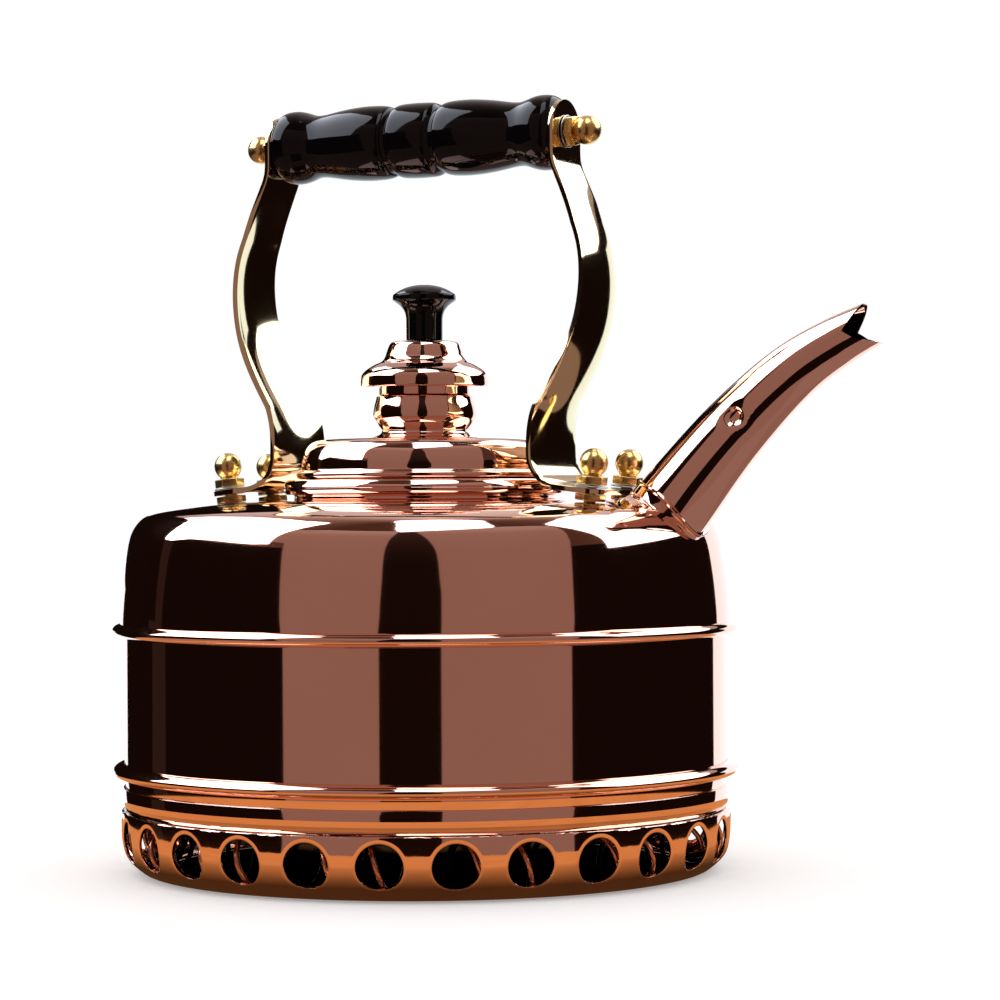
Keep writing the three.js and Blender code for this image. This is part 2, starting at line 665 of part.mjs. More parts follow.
function spoutSaddle() {
  const outline = new THREE.Shape(saddleOutline());
  const leaf = new THREE.ExtrudeGeometry(outline, { depth: SHOULDER_RISE, bevelEnabled: false });
  leaf.translate(0, 0, SHOULDER_TOP - SADDLE_DEPTH);
  const bore = SPOUT_FOOT_RADIUS + SEAM_GAP + FERRULE_WALL + FERRULE_LIP + SEAM_GAP;
  const passage = bent(turned([
    [0, 0], [bore, 0], [bore, SPOUT_INNER_LENGTH + FERRULE_LENGTH], [0, SPOUT_INNER_LENGTH + FERRULE_LENGTH],
  ], SPOUT_SIDES));
  const plate = solid(bodyBlank(SEAM_GAP + SADDLE_THICKNESS)).intersect(solid(leaf));
  return surface(plate.subtract(solid(bodyBlank(SEAM_GAP))).subtract(solid(passage)));
}

// Whistle cup that sits in the middle of the spout
function whistleCup() {
  const length = spoutCurve().getLength();
  const start = WHISTLE_PLACE_SHARE * length - WHISTLE_LENGTH / 2;
  const end = start + WHISTLE_LENGTH;
  const bore = (distance) => spoutRadius((distance - SPOUT_INNER_LENGTH) / (length - SPOUT_INNER_LENGTH))
    - SPOUT_WALL - SEAM_GAP;
  const rim = bore(end);
  return bent(turned(closed([
    [WHISTLE_HOLE_RADIUS, start], [rim, start], [rim, end], [rim - SHEET, end], [rim - SHEET, start + SHEET],
    [WHISTLE_HOLE_RADIUS, start + SHEET],
  ]), SPOUT_SIDES));
}

// Places of the bracket studs: on the shoulder, square to its slope
function studSlope() {
  const radius = Math.hypot(STUD_DISTANCE, STUD_PITCH / 2);
  const drop = shoulderHeight(radius - STUD_RADIUS) - shoulderHeight(radius + STUD_RADIUS);
  return Math.atan2(drop, 2 * STUD_RADIUS);
}

function studPlaces() {
  const height = shoulderHeight(Math.hypot(STUD_DISTANCE, STUD_PITCH / 2));
  const places = [];
  for (const [end, facing] of [['front', 1], ['rear', -1]]) {
    for (const [side, offset] of [['near', -1], ['far', 1]]) {
      const position = new THREE.Vector3(facing * STUD_DISTANCE, offset * STUD_PITCH / 2, height);
      places.push({ name: `${end}_${side}`, position, tilt: facing * studSlope() });
    }
  }
  return places;
}

function inPlace(geometry, place) {
  geometry.rotateY(place.tilt);
  geometry.translate(place.position.x, place.position.y, place.position.z);
  return geometry;
}

// Bracket feet: the mid plane of the foot plate, as a point and its outward slope
function footPoint(distance) {
  const slope = studSlope();
  const height = shoulderHeight(Math.hypot(STUD_DISTANCE, STUD_PITCH / 2));
  const lift = PLATE_LIFT + STRAP_THICKNESS / 2;
  return [
    STUD_DISTANCE + lift * Math.sin(slope) + distance * Math.cos(slope),
    height + lift * Math.cos(slope) - distance * Math.sin(slope),
  ];
}

function gripHeight() {
  return SHOULDER_TOP + LEG_LIFT + STRAP_HEIGHT;
}

// Stations of a strap from the ear to the toe: [outward place, height, width]
function strapStations(ear, leg) {
  const stations = [];
  for (const turn of EAR_DEGREES) {
    const angle = THREE.MathUtils.degToRad(turn);
    stations.push([ear, gripHeight() + EAR_RADIUS * Math.sin(angle), 2 * EAR_RADIUS * Math.cos(angle)]);
  }
  stations.push([ear, gripHeight() - EAR_FLAT, 2 * EAR_RADIUS]);
  for (const [h, bow, w] of STRAP_SHARES) {
    const place = THREE.MathUtils.lerp(leg, ear, h) + bow * STRAP_BOW;
    stations.push([place, SHOULDER_TOP + LEG_LIFT + h * STRAP_HEIGHT, w * STRAP_WIDTH]);
  }
  const slope = studSlope();
  const [footPlace, footHeight] = footPoint(0);
  const centrePlace = leg + STRAP_BEND_RADIUS;
  const under = footHeight + (footPlace - centrePlace) * Math.tan(slope);
  const centreHeight = under + STRAP_BEND_RADIUS / Math.cos(slope);
  for (let i = 0; i <= BEND_STEPS; i += 1) {
    const angle = Math.PI + (i / BEND_STEPS) * (Math.PI / 2 - slope);
    const place = centrePlace + STRAP_BEND_RADIUS * Math.cos(angle);
    stations.push([place, centreHeight + STRAP_BEND_RADIUS * Math.sin(angle), STRAP_WIDTH]);
  }
  for (const [s, w] of TOE_SHARES) {
    const [place, height] = footPoint(s * FOOT_TOE);
    stations.push([place, height, w * FOOT_WIDTH]);
  }
  return stations;
}

function bracket(facing) {
  const shift = facing * GRIP_SHIFT;
  const stations = strapStations(shift + EAR_OFFSET, shift + COLLAR_RADIUS + LEG_GAP);
  const line = stations.map(([place, height]) => [place, height]);
  const outer = offsetLine(line, STRAP_THICKNESS / 2);
  const inner = offsetLine(line, -STRAP_THICKNESS / 2);
  const rings = stations.map(([, , width], i) => [
    new THREE.Vector3(facing * outer[i][0], -width / 2, outer[i][1]),
    new THREE.Vector3(facing * outer[i][0], width / 2, outer[i][1]),
    new THREE.Vector3(facing * inner[i][0], width / 2, inner[i][1]),
    new THREE.Vector3(facing * inner[i][0], -width / 2, inner[i][1]),
  ]);
  const holes = studPlaces().map((place) => inPlace(rod(
    STUD_RADIUS + STUD_CLEARANCE, 0, NUT_LIFT, SMALL_SIDES), place));
  const eye = rodAlongX(ROD_RADIUS + SEAM_GAP, -GRIP_LENGTH, GRIP_LENGTH, SMALL_SIDES);
  eye.translate(0, 0, gripHeight());
  return cut(skin(rings), [eye, ...holes]);
}

// Fasteners, each standing on Z with its foot at height 0
function hexPiece(radius, height, bore) {
  return cut(rod(radius, 0, height, HEX_SIDES), [rod(bore, -CUT_OVERRUN, height + CUT_OVERRUN, SMALL_SIDES)]);
}

function ballNut(hexRadius, ballRadius, bore) {
  const centre = NUT_HEIGHT + ballRadius - BALL_SINK;
  const ball = new THREE.SphereGeometry(ballRadius, SMALL_SIDES, BALL_RINGS);
  ball.rotateX(Math.PI / 2);
  ball.translate(0, 0, centre);
  const neck = rod(ballRadius * BALL_NECK_SHARE, NUT_HEIGHT / 2, centre, SMALL_SIDES);
  const whole = solid(rod(hexRadius, 0, NUT_HEIGHT, HEX_SIDES)).add(solid(neck)).add(solid(ball));
  return surface(whole.subtract(solid(rod(bore, -CUT_OVERRUN, NUT_HEIGHT + SHEET + SEAM_GAP, SMALL_SIDES))));
}

function studSet(place) {
  const bore = STUD_RADIUS + STUD_CLEARANCE;
  const spacer = hexPiece(NUT_RADIUS, SPACER_HEIGHT, bore);
  spacer.translate(0, 0, SPACER_GAP);
  const washer = ring(bore, WASHER_RADIUS, WASHER_LIFT, WASHER_LIFT + WASHER_THICKNESS, SMALL_SIDES);
  const nut = ballNut(NUT_RADIUS, BALL_RADIUS, bore);
  nut.translate(0, 0, NUT_LIFT);
  const innerNut = hexPiece(NUT_RADIUS, INNER_NUT_HEIGHT, bore);
  innerNut.translate(0, 0, -SHEET - SPACER_GAP - INNER_NUT_HEIGHT);
  const stud = rod(STUD_RADIUS, -STUD_TAIL, NUT_LIFT + NUT_HEIGHT + SHEET, SMALL_SIDES);
  return [
    node(`${place.name}_stud`, inPlace(stud, place), brass()),
    node(`${place.name}_spacer`, inPlace(spacer, place), brass()),
    node(`${place.name}_washer`, inPlace(washer, place), steel()),
    node(`${place.name}_ball_nut`, inPlace(nut, place), brass()),
    node(`${place.name}_inner_nut`, inPlace(innerNut, place), brass()),
  ];
}

// Turned grip on its rod, with a washer and a ball nut outside each ear
function gripLine() {
  const half = GRIP_LENGTH / 2;
  const bore = ROD_RADIUS + SEAM_GAP;
  const rear = GRIP_SHARES.map(([along, r]) => [r * GRIP_RADIUS, -along * half]);
  const front = GRIP_SHARES.slice(0, -1).map(([along, r]) => [r * GRIP_RADIUS, along * half]).reverse();
  return [[bore, -half], ...rear, ...front, [bore, half]];
}

function alongHandle(geometry, facing, place) {
  geometry.rotateY(facing * Math.PI / 2);
  geometry.translate(place, 0, gripHeight());
  return geometry;
}

function handleSet() {
  const bore = ROD_RADIUS + SEAM_GAP;
  const grip = alongHandle(turned(closed(gripLine()), GRIP_SIDES), 1, GRIP_SHIFT);
  const outside = EAR_OFFSET + STRAP_THICKNESS / 2 + SEAM_GAP;
  const nutFoot = outside + WASHER_THICKNESS + SEAM_GAP;
  const reach = nutFoot + NUT_HEIGHT + SHEET;
  const pieces = [
    node('handle_grip', grip, lacquer()),
    node('handle_rod', alongHandle(rod(ROD_RADIUS, -reach, reach, SMALL_SIDES), 1, GRIP_SHIFT), brass()),
  ];
  for (const [end, facing] of [['front', 1], ['rear', -1]]) {
    const washer = ring(bore, WASHER_RADIUS, outside, outside + WASHER_THICKNESS, SMALL_SIDES);
    const nut = ballNut(END_NUT_RADIUS, END_BALL_RADIUS, bore);
    nut.translate(0, 0, nutFoot);
    pieces.push(node(`handle_${end}_washer`, alongHandle(washer, facing, GRIP_SHIFT), steel()));
    pieces.push(node(`handle_${end}_ball_nut`, alongHandle(nut, facing, GRIP_SHIFT), brass()));
  }
  return pieces;
}

// Lid: dome with its flange, guiding skirt, neck cup, crown, knob and screw
function lidDome() {
  const rise = DOME_TOP - DOME_BOTTOM;
  const outer = DOME_SHARES.map(([r, h]) => [r * LID_DOME_RADIUS, DOME_BOTTOM + h * rise]);
  const inner = offsetLine([...outer, [0, DOME_TOP]], SHEET).slice(0, -1).filter((_, i) => i % 2 === 1).reverse();
  return turned(closed([
    [LID_DOME_RADIUS - SHEET, LID_BOTTOM], [LID_FLANGE_RADIUS, LID_BOTTOM], [LID_FLANGE_RADIUS, DOME_BOTTOM],
    ...outer, [SCREW_HOLE_RADIUS, DOME_TOP], [SCREW_HOLE_RADIUS, DOME_TOP - SHEET], ...inner,
  ]), LID_SIDES);
}

function lidSkirt() {
  const top = LID_BOTTOM + SKIRT_REACH;
  return ring(SKIRT_RADIUS - SKIRT_WALL, SKIRT_RADIUS, LID_BOTTOM - SKIRT_DEPTH, top, LID_SIDES);
}

function lidNeck() {
  const outer = NECK_SHARES.map(([r, h]) => [r * NECK_RADIUS, NECK_BOTTOM + h * NECK_HEIGHT]);
  const inner = outer.slice(0, -1).map(([r, z]) => [r - SHEET, z]).reverse();
  const top = outer[outer.length - 1];
  return turned(closed([
    ...outer, [SCREW_HOLE_RADIUS, NECK_TOP], [SCREW_HOLE_RADIUS, NECK_TOP - SHEET],
    [top[0] - SHEET, NECK_TOP - SHEET], ...inner,
  ]), NECK_SIDES);
}

function lidCrown() {
  const outer = CROWN_SHARES.map(([r, h]) => [r * CROWN_RADIUS, CROWN_BOTTOM + h * CROWN_HEIGHT]);
  const inner = offsetLine(outer, SHEET).slice(1).filter((_, i) => i % 2 === 1).reverse();
  const brim = outer[0][1];
  return turned(closed([
    [CROWN_RECESS_RADIUS - SHEET, CROWN_BOTTOM], [CROWN_RECESS_RADIUS, CROWN_BOTTOM],
    [CROWN_RECESS_RADIUS, brim], ...outer, [SCREW_HOLE_RADIUS, CROWN_TOP], [SCREW_HOLE_RADIUS, CROWN_TOP - SHEET],
    ...inner, [CROWN_RADIUS - SHEET, brim + SHEET], [CROWN_RECESS_RADIUS - SHEET, brim + SHEET],
  ]), NECK_SIDES);
}

function lidKnob() {
  const head = KNOB_SHARES.map(([r, h]) => [r * KNOB_RADIUS, KNOB_BOTTOM + h * KNOB_HEIGHT]);
  const boreEnd = KNOB_BOTTOM + SCREW_GRIP_LENGTH;
  return turned([
    [0, boreEnd], [SCREW_HOLE_RADIUS, boreEnd], [SCREW_HOLE_RADIUS, KNOB_BOTTOM], [KNOB_STEM_RADIUS, KNOB_BOTTOM],
    [KNOB_STEM_RADIUS, KNOB_BOTTOM + KNOB_STEM_SHARE * KNOB_HEIGHT], ...head, [0, KNOB_BOTTOM + KNOB_HEIGHT],
  ], GRIP_SIDES);
}

function lidScrew() {
  const headTop = NECK_TOP - SHEET - SEAM_GAP;
  const headBottom = headTop - SCREW_HEAD_HEIGHT;
  const end = KNOB_BOTTOM + SCREW_GRIP_LENGTH - SEAM_GAP;
  return turned([
    [0, headBottom], [SCREW_HEAD_RADIUS, headBottom], [SCREW_HEAD_RADIUS, headTop],
    [SCREW_RADIUS, headTop], [SCREW_RADIUS, end], [0, end],
  ], SMALL_SIDES);
}

// Assembly
const lid = new THREE.Group();
lid.add(
  node('lid_dome', lidDome(), copper()),
  node('lid_skirt', lidSkirt(), copper()),
  node('lid_neck', lidNeck(), copper()),
  node('lid_crown', lidCrown(), copper()),
  node('lid_knob', lidKnob(), lacquer()),
  node('lid_screw', lidScrew(), brass()),
);

const body = new THREE.Group();
body.add(
  node('shoulder_shell', shoulderShell(), copper()),
  node('wall_band', wallBand(), copper()),
  node('upper_bead', bead(UPPER_SEAM, LAP_RADIUS + SEAM_GAP), copper()),
  node('lower_bead', plainBead(LOWER_SEAM), copper()),
  node('base_hoop', baseHoop(), copper()),
  node('base_plate', basePlate(), copper()),
  node('heat_ring', heatRing(), copper()),
  node('heat_coil', heatCoil(), copper()),
  node('coil_retainer', coilRetainer(), copper()),
  node('filler_collar', fillerCollar(), copper()),
  node('spout_tube', spoutTube(), copper()),
  node('spout_ferrule', spoutFerrule(), copper()),
  node('spout_saddle', spoutSaddle(), copper()),
  node('whistle_cup', whistleCup(), copper()),
  node('front_bracket', bracket(1), brass()),
  node('rear_bracket', bracket(-1), brass()),
  ...studPlaces().flatMap(studSet),
  ...handleSet(),
);

const kettle = new THREE.Group();
kettle.add(body, lid);
const footprint = new THREE.Box3().setFromObject(kettle);
const middle = footprint.getCenter(new THREE.Vector3());
kettle.position.set(-middle.x, -middle.y, -footprint.min.z);

export default kettle;
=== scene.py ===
# %% [markdown]
# # A polished copper stovetop kettle
# The kettle's working model is packed in the frame. This lesson dresses it: every part that
# shows is modelled again with smooth curves, and gets copper, brass, steel or lacquer. The
# frame says where each part goes and how large it is. A shape finer than the frame's is a
# list of shares of that size, or a measure in millimetres.

# %% Load the frame
import math

import bpy
import numpy as np
from mathutils import Matrix, Vector


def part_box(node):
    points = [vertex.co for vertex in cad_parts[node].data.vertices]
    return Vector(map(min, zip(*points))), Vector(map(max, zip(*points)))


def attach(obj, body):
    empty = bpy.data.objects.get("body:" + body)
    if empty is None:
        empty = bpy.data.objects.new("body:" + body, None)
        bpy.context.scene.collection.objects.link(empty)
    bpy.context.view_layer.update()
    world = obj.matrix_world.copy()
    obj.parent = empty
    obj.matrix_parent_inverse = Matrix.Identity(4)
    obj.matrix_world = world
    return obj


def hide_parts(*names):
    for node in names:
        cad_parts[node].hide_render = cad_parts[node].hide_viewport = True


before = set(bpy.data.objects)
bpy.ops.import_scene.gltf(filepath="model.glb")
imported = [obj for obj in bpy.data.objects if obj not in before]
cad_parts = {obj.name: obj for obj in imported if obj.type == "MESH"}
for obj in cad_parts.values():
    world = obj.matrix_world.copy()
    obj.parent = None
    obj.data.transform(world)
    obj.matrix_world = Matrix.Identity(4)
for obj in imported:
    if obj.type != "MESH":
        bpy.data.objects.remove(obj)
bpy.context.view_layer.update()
print("nodes in the frame:", len(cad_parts))

# %% The body's axis and the millimetre
MM = 0.001
wall_low, wall_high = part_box("wall_band")
AXIS = Vector(((wall_low.x + wall_high.x) / 2, 0, 0))
WALL_RADIUS = (wall_high.y - wall_low.y) / 2
SHEET = 1 * MM
THIN_SHEET = 0.9 * MM
ORIGIN = Vector((0, 0, 0))
ALONG_X = Vector((1, 0, 0))
ACROSS = Vector((0, 1, 0))
UP = Vector((0, 0, 1))
BODY_CENTRE = (AXIS.x, AXIS.y, 0)
print("body axis at x =", round(AXIS.x / MM, 2), "mm, wall radius", round(WALL_RADIUS / MM, 2), "mm")

# %% [markdown]
# ## The camera
# The photograph was taken from low down and far away: the rims of the kettle are nearly
# straight lines. A long lens about a metre off gives the same flat view. The camera looks
# level, from a height a little above the shoulder, so upright edges stay upright, and it is
# rolled by a fraction of a degree, as the picture is.

# %% Camera
VIEW_YAW = math.radians(27)
CAMERA_DISTANCE = 1042 * MM
CAMERA_HEIGHT = 119.3 * MM
CAMERA_RIGHT_SHIFT = 24.3 * MM
CAMERA_ROLL = math.radians(-0.3)
LENS = 115.2
view_right = Vector((math.cos(VIEW_YAW), math.sin(VIEW_YAW), 0))
view_forward = Vector((-math.sin(VIEW_YAW), math.cos(VIEW_YAW), 0))


def add_camera():
    place = AXIS + CAMERA_RIGHT_SHIFT * view_right - CAMERA_DISTANCE * view_forward + CAMERA_HEIGHT * UP
    bpy.ops.object.camera_add(location=place)
    camera = bpy.context.object
    turn = view_forward.to_track_quat("-Z", "Y").to_matrix().to_4x4()
    roll = Matrix.Rotation(CAMERA_ROLL, 4, "Z")
    camera.matrix_world = Matrix.Translation(place) @ turn @ roll
    camera.data.lens = LENS
    camera.data.sensor_width = 36
    camera.data.clip_start = 0.01
    bpy.context.scene.camera = camera
    print("camera at", [round(c, 3) for c in place])


add_camera()

# %% [markdown]
# ## Drawing an outline and turning it
# Nearly every piece of a kettle is made on a lathe or spun over a form. The same is done
# here: a line is drawn point by point by extruding one vertex, and the line is spun round an
# axis. Rounded stretches come from a smooth curve through a few measured points, because a
# mirror shows every corner in the line.

# %% Helpers for lines
def flowing(points, steps):
    """A smooth line through the points: a natural cubic spline over the length of the line."""
    points = np.array(points, float)
    spans = np.linalg.norm(np.diff(points, axis=0), axis=1)
    at = np.concatenate([[0], np.cumsum(spans)])
    count = len(points)
    matrix = np.eye(count)
    right = np.zeros_like(points)
    for i in range(1, count - 1):
        matrix[i, i - 1:i + 2] = spans[i - 1], 2 * (spans[i - 1] + spans[i]), spans[i]
        slope_change = (points[i + 1] - points[i]) / spans[i] - (points[i] - points[i - 1]) / spans[i - 1]
        right[i] = 6 * slope_change
    bend = np.linalg.solve(matrix, right)
    line = []
    for s in np.linspace(0, at[-1], steps + 1):
        i = min(int(np.searchsorted(at, s, side="right")) - 1, count - 2)
        before, after, span = at[i + 1] - s, s - at[i], spans[i]
        value = (bend[i] * before ** 3 + bend[i + 1] * after ** 3) / (6 * span)
        value = value + (points[i] / span - bend[i] * span / 6) * before
        value = value + (points[i + 1] / span - bend[i + 1] * span / 6) * after
        line.append(tuple(value))
    return line


def arc(centre, radius, start, end, steps):
    """Points on an arc, from one angle to another, in degrees from the outward direction."""
    angles = np.radians(np.linspace(start, end, steps + 1))
    return [(centre[0] + radius * math.cos(a), centre[1] + radius * math.sin(a)) for a in angles]


def hermite(start, start_slope, end, end_slope, t):
    """A point of the cubic curve between two places, with a slope given at each."""
    return ((2 * t ** 3 - 3 * t ** 2 + 1) * start + (t ** 3 - 2 * t ** 2 + t) * start_slope
            + (3 * t ** 2 - 2 * t ** 3) * end + (t ** 3 - t ** 2) * end_slope)


def lengths_along(points):
    """How far along a line each of its points lies."""
    steps = np.diff(np.array(points), axis=0)
    return np.concatenate([[0], np.cumsum(np.linalg.norm(steps, axis=1))])


def radius_of(node):
    low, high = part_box(node)
    return (high.y - low.y) / 2


def node_line(node, shares):
    """Shares of a turned node's radius and height, as [radius, height] in metres."""
    low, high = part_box(node)
    radius = radius_of(node)
    return [(r * radius, low.z + h * (high.z - low.z)) for r, h in shares]


# %% Helpers that model a piece
def select_only(*pieces):
    """Selects the pieces and makes the first of them active."""
    bpy.ops.object.select_all(action="DESELECT")
    for piece in pieces:
        piece.select_set(True)
    bpy.context.view_layer.objects.active = pieces[0]


def new_piece(name, add, **settings):
    """Adds a primitive by its operator, and names it."""
    bpy.ops.object.select_all(action="DESELECT")
    add(**settings)
    piece = bpy.context.object
    piece.name = name
    return piece


def single_vertex(name, place):
    """A mesh of one selected vertex, left in edit mode."""
    piece = new_piece(name, bpy.ops.mesh.primitive_plane_add, size=MM, location=place)
    bpy.ops.object.mode_set(mode="EDIT")
    bpy.ops.mesh.select_mode(type="VERT")
    bpy.ops.mesh.select_all(action="SELECT")
    bpy.ops.mesh.merge(type="CENTER")
    return piece


def drawn_line(name, points):
    piece = single_vertex(name, points[0])
    for here, there in zip(points, points[1:]):
        step = [b - a for a, b in zip(here, there)]
        bpy.ops.mesh.extrude_region_move(TRANSFORM_OT_translate={"value": step})
    bpy.ops.object.mode_set(mode="OBJECT")
    settle(piece)
    return piece


def grown_circle(name, sides, radius, growths):
    """A circle whose edge is extruded and scaled outwards, once for every growth."""
    piece = new_piece(
        name, bpy.ops.mesh.primitive_circle_add, vertices=sides, radius=radius, location=ORIGIN)
    bpy.ops.object.mode_set(mode="EDIT")
    bpy.ops.mesh.select_mode(type="EDGE")
    bpy.ops.mesh.select_all(action="SELECT")
    for growth in growths:
        bpy.ops.mesh.extrude_edges_move()
        bpy.ops.transform.resize(value=(growth, growth, 1), center_override=ORIGIN)
    bpy.ops.object.mode_set(mode="OBJECT")
    return piece


def settle(piece):
    """Puts the place, turn and scale of the object into its mesh."""
    select_only(piece)
    bpy.ops.object.transform_apply(location=True, rotation=True, scale=True)


def clean(piece):
    """Joins the points that coincide, and turns every face outwards."""
    select_only(piece)
    bpy.ops.object.mode_set(mode="EDIT")
    bpy.ops.mesh.select_all(action="SELECT")
    bpy.ops.mesh.remove_doubles(threshold=0.002 * MM)
    bpy.ops.mesh.normals_make_consistent(inside=False)
    bpy.ops.object.mode_set(mode="OBJECT")


def apply_modifier(piece, kind, **settings):
    select_only(piece)
    modifier = piece.modifiers.new(kind.title(), kind)
    for key, value in settings.items():
        setattr(modifier, key, value)
    bpy.ops.object.modifier_apply(modifier=modifier.name)


def smooth(piece, degrees=32):
    select_only(piece)
    bpy.ops.object.shade_smooth_by_angle(angle=math.radians(degrees))


def soften_edges(piece, width, degrees=40, segments=2):
    apply_modifier(
        piece, "BEVEL", width=width, segments=segments, limit_method="ANGLE",
        angle_limit=math.radians(degrees), use_clamp_overlap=True, harden_normals=False)


def turned(name, line, sides, wall=0, edge=0, centre=None, axis=UP):
    """Spins a line of [radius, height] round an axis. A wall thickens an open line inwards."""
    centre = AXIS if centre is None else centre
    out = ALONG_X if axis == UP else UP
    piece = drawn_line(name, [centre + out * r + axis * h for r, h in line])
    bpy.ops.object.mode_set(mode="EDIT")
    bpy.ops.mesh.select_all(action="SELECT")
    bpy.ops.mesh.spin(steps=sides, angle=2 * math.pi, center=centre, axis=axis)
    bpy.ops.object.mode_set(mode="OBJECT")
    clean(piece)
    if wall:
        apply_modifier(piece, "SOLIDIFY", thickness=wall, offset=-1, use_even_offset=True)
    if edge:
        soften_edges(piece, edge)
    smooth(piece)
    return piece


def dress(piece, material, slot, body, *nodes):
    """Gives a finished piece its material, hangs it on its body, and hides the frame's nodes that it
    replaces.
    """
    piece.data.materials.clear()
    piece.data.materials.append(material)
    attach(piece, body)
    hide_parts(*nodes)
    print(piece.name, "faces:", len(piece.data.polygons))
    return piece


# %% [markdown]
# ## Finishes
# Copper that has just been polished is a mirror with a warm tint. What makes it look real is
# small: rings left by the polishing mop, a roughness that varies a little, and a sheet that
# isn't quite flat, so that straight reflections waver.

# %% Node helpers
def new_material(name, base, metallic, roughness):
    material = bpy.data.materials.new(name)
    material.use_nodes = True
    shader = material.node_tree.nodes["Principled BSDF"]
    shader.inputs["Base Color"].default_value = (*base, 1)
    shader.inputs["Metallic"].default_value = metallic
    shader.inputs["Roughness"].default_value = roughness
    return material, material.node_tree, shader


def feed(tree, socket, value):
    """Links another node's socket to this one, or sets it to a plain value."""
    if isinstance(value, bpy.types.NodeSocket):
        tree.links.new(value, socket)
    else:
        socket.default_value = value


def add_node(tree, kind, **values):
    """A node whose inputs and settings are given by name."""
    node = tree.nodes.new(kind)
    for key, value in values.items():
        if key in node.inputs:
            feed(tree, node.inputs[key], value)
        else:
            setattr(node, key, value)
    return node


def math_node(tree, operation, *values):
    node = add_node(tree, "ShaderNodeMath", operation=operation)
    for socket, value in zip(node.inputs, values):
        feed(tree, socket, value)
    return node.outputs[0]


def object_place(tree):
    """Object coordinates measured from the foot of the body's axis."""
    source = tree.nodes.new("ShaderNodeTexCoord").outputs["Object"]
    back = [-c for c in BODY_CENTRE]
    return add_node(tree, "ShaderNodeMapping", Vector=source, Location=back).outputs[0]


def ring_place(tree, across, along):
    """A vector of distance from the upright axis, height, and a slow turn about the axis."""
    x, y, z = add_node(tree, "ShaderNodeSeparateXYZ", Vector=object_place(tree)).outputs
    squares = [math_node(tree, "MULTIPLY", part, part) for part in (x, y)]
    distance = math_node(tree, "SQRT", math_node(tree, "ADD", *squares))
    turn = math_node(tree, "ARCTAN2", y, x)
    scaled = ((distance, across), (z, across), (turn, along))
    out, rise, swing = [math_node(tree, "MULTIPLY", *pair) for pair in scaled]
    return add_node(tree, "ShaderNodeCombineXYZ", X=out, Y=rise, Z=swing).outputs[0]


def mixed_colour(tree, factor, low, high):
    """Blends from one colour to another. Each is three numbers or a socket."""
    mix = add_node(tree, "ShaderNodeMix", data_type="RGBA")
    for number, value in ((0, factor), (6, low), (7, high)):
        feed(tree, mix.inputs[number], (*value, 1) if isinstance(value, tuple) else value)
    return mix.outputs[2]


def ranged(tree, value, low, high):
    limits = {"To Min": low, "To Max": high}
    return add_node(tree, "ShaderNodeMapRange", Value=value, **limits).outputs[0]


def stepped(tree, value, start, end):
    """Nought below the start, one above the end, and a smooth rise between them."""
    node = add_node(tree, "ShaderNodeMapRange", interpolation_type="SMOOTHSTEP", Value=value)
    node.inputs["From Min"].default_value = start
    node.inputs["From Max"].default_value = end
    return node.outputs[0]


def noise(tree, place, scale, detail=2, roughness=0.5):
    node = add_node(
        tree, "ShaderNodeTexNoise", Vector=place, Scale=scale, Detail=detail, Roughness=roughness)
    return node.outputs[0]


def vary(tree, shader, colour, roughness):
    """Lets the colour and the roughness of a finish follow two sockets."""
    tree.links.new(colour, shader.inputs["Base Color"])
    tree.links.new(roughness, shader.inputs["Roughness"])


def bumps(tree, shader, layers):
    """Stacks bump layers of [height socket, strength, distance] on the shader's normal."""
    last = None
    for height, strength, distance in layers:
        bump = add_node(tree, "ShaderNodeBump", Strength=strength, Distance=distance, Height=height)
        if last:
            tree.links.new(last, bump.inputs["Normal"])
        last = bump.outputs[0]
    tree.links.new(last, shader.inputs["Normal"])


# %% Polished copper
COPPER_LIGHT = (0.96, 0.63, 0.51)
COPPER_DEEP = (0.93, 0.57, 0.445)


def polished_copper(name, roughness=(0.03, 0.06), mop=0.05, wave=0.3):
    material, tree, shader = new_material(name, COPPER_LIGHT, 1, roughness[0])
    place = object_place(tree)
    rings = noise(tree, ring_place(tree, 900, 1.5), 1, 3, 0.6)
    cloud = noise(tree, place, 22, 3)
    dents = noise(tree, place, 14, 1)
    colour = mixed_colour(tree, cloud, COPPER_DEEP, COPPER_LIGHT)
    vary(tree, shader, colour, ranged(tree, cloud, roughness[1], roughness[0]))
    bumps(tree, shader, [(rings, mop, 0.01 * MM), (dents, wave, 0.12 * MM)])
    return material


copper = polished_copper("polished copper")
spout_copper = polished_copper("drawn copper", wave=0.15)
lid_copper = polished_copper("spun copper", mop=0.08, wave=0.1)
print("copper finishes made")

# %% Copper wire
# Painted shade: the coil's inner side, in the dark inside the ring, is drawn black.
PAINTED_SHADE_EDGE = (90 * MM, 93 * MM)
PAINTED_SHADE = (0.004, 0.004, 0.004)


def wire_copper():
    """Bright on the outer side of the coil, and black on its inner side, which is painted shade."""
    material, tree, shader = new_material("copper wire", (0.86, 0.42, 0.26), 1, 0.22)
    place = object_place(tree)
    scale_marks = noise(tree, place, 160, 4)
    tint = mixed_colour(tree, scale_marks, (0.62, 0.25, 0.14), (0.93, 0.5, 0.33))
    distance = add_node(tree, "ShaderNodeSeparateXYZ", Vector=ring_place(tree, 1, 1)).outputs[0]
    colour = mixed_colour(tree, stepped(tree, distance, *PAINTED_SHADE_EDGE), PAINTED_SHADE, tint)
    vary(tree, shader, colour, ranged(tree, scale_marks, 0.34, 0.16))
    bumps(tree, shader, [(noise(tree, place, 900, 2), 0.15, 0.05 * MM)])
    return material


coil_copper = wire_copper()


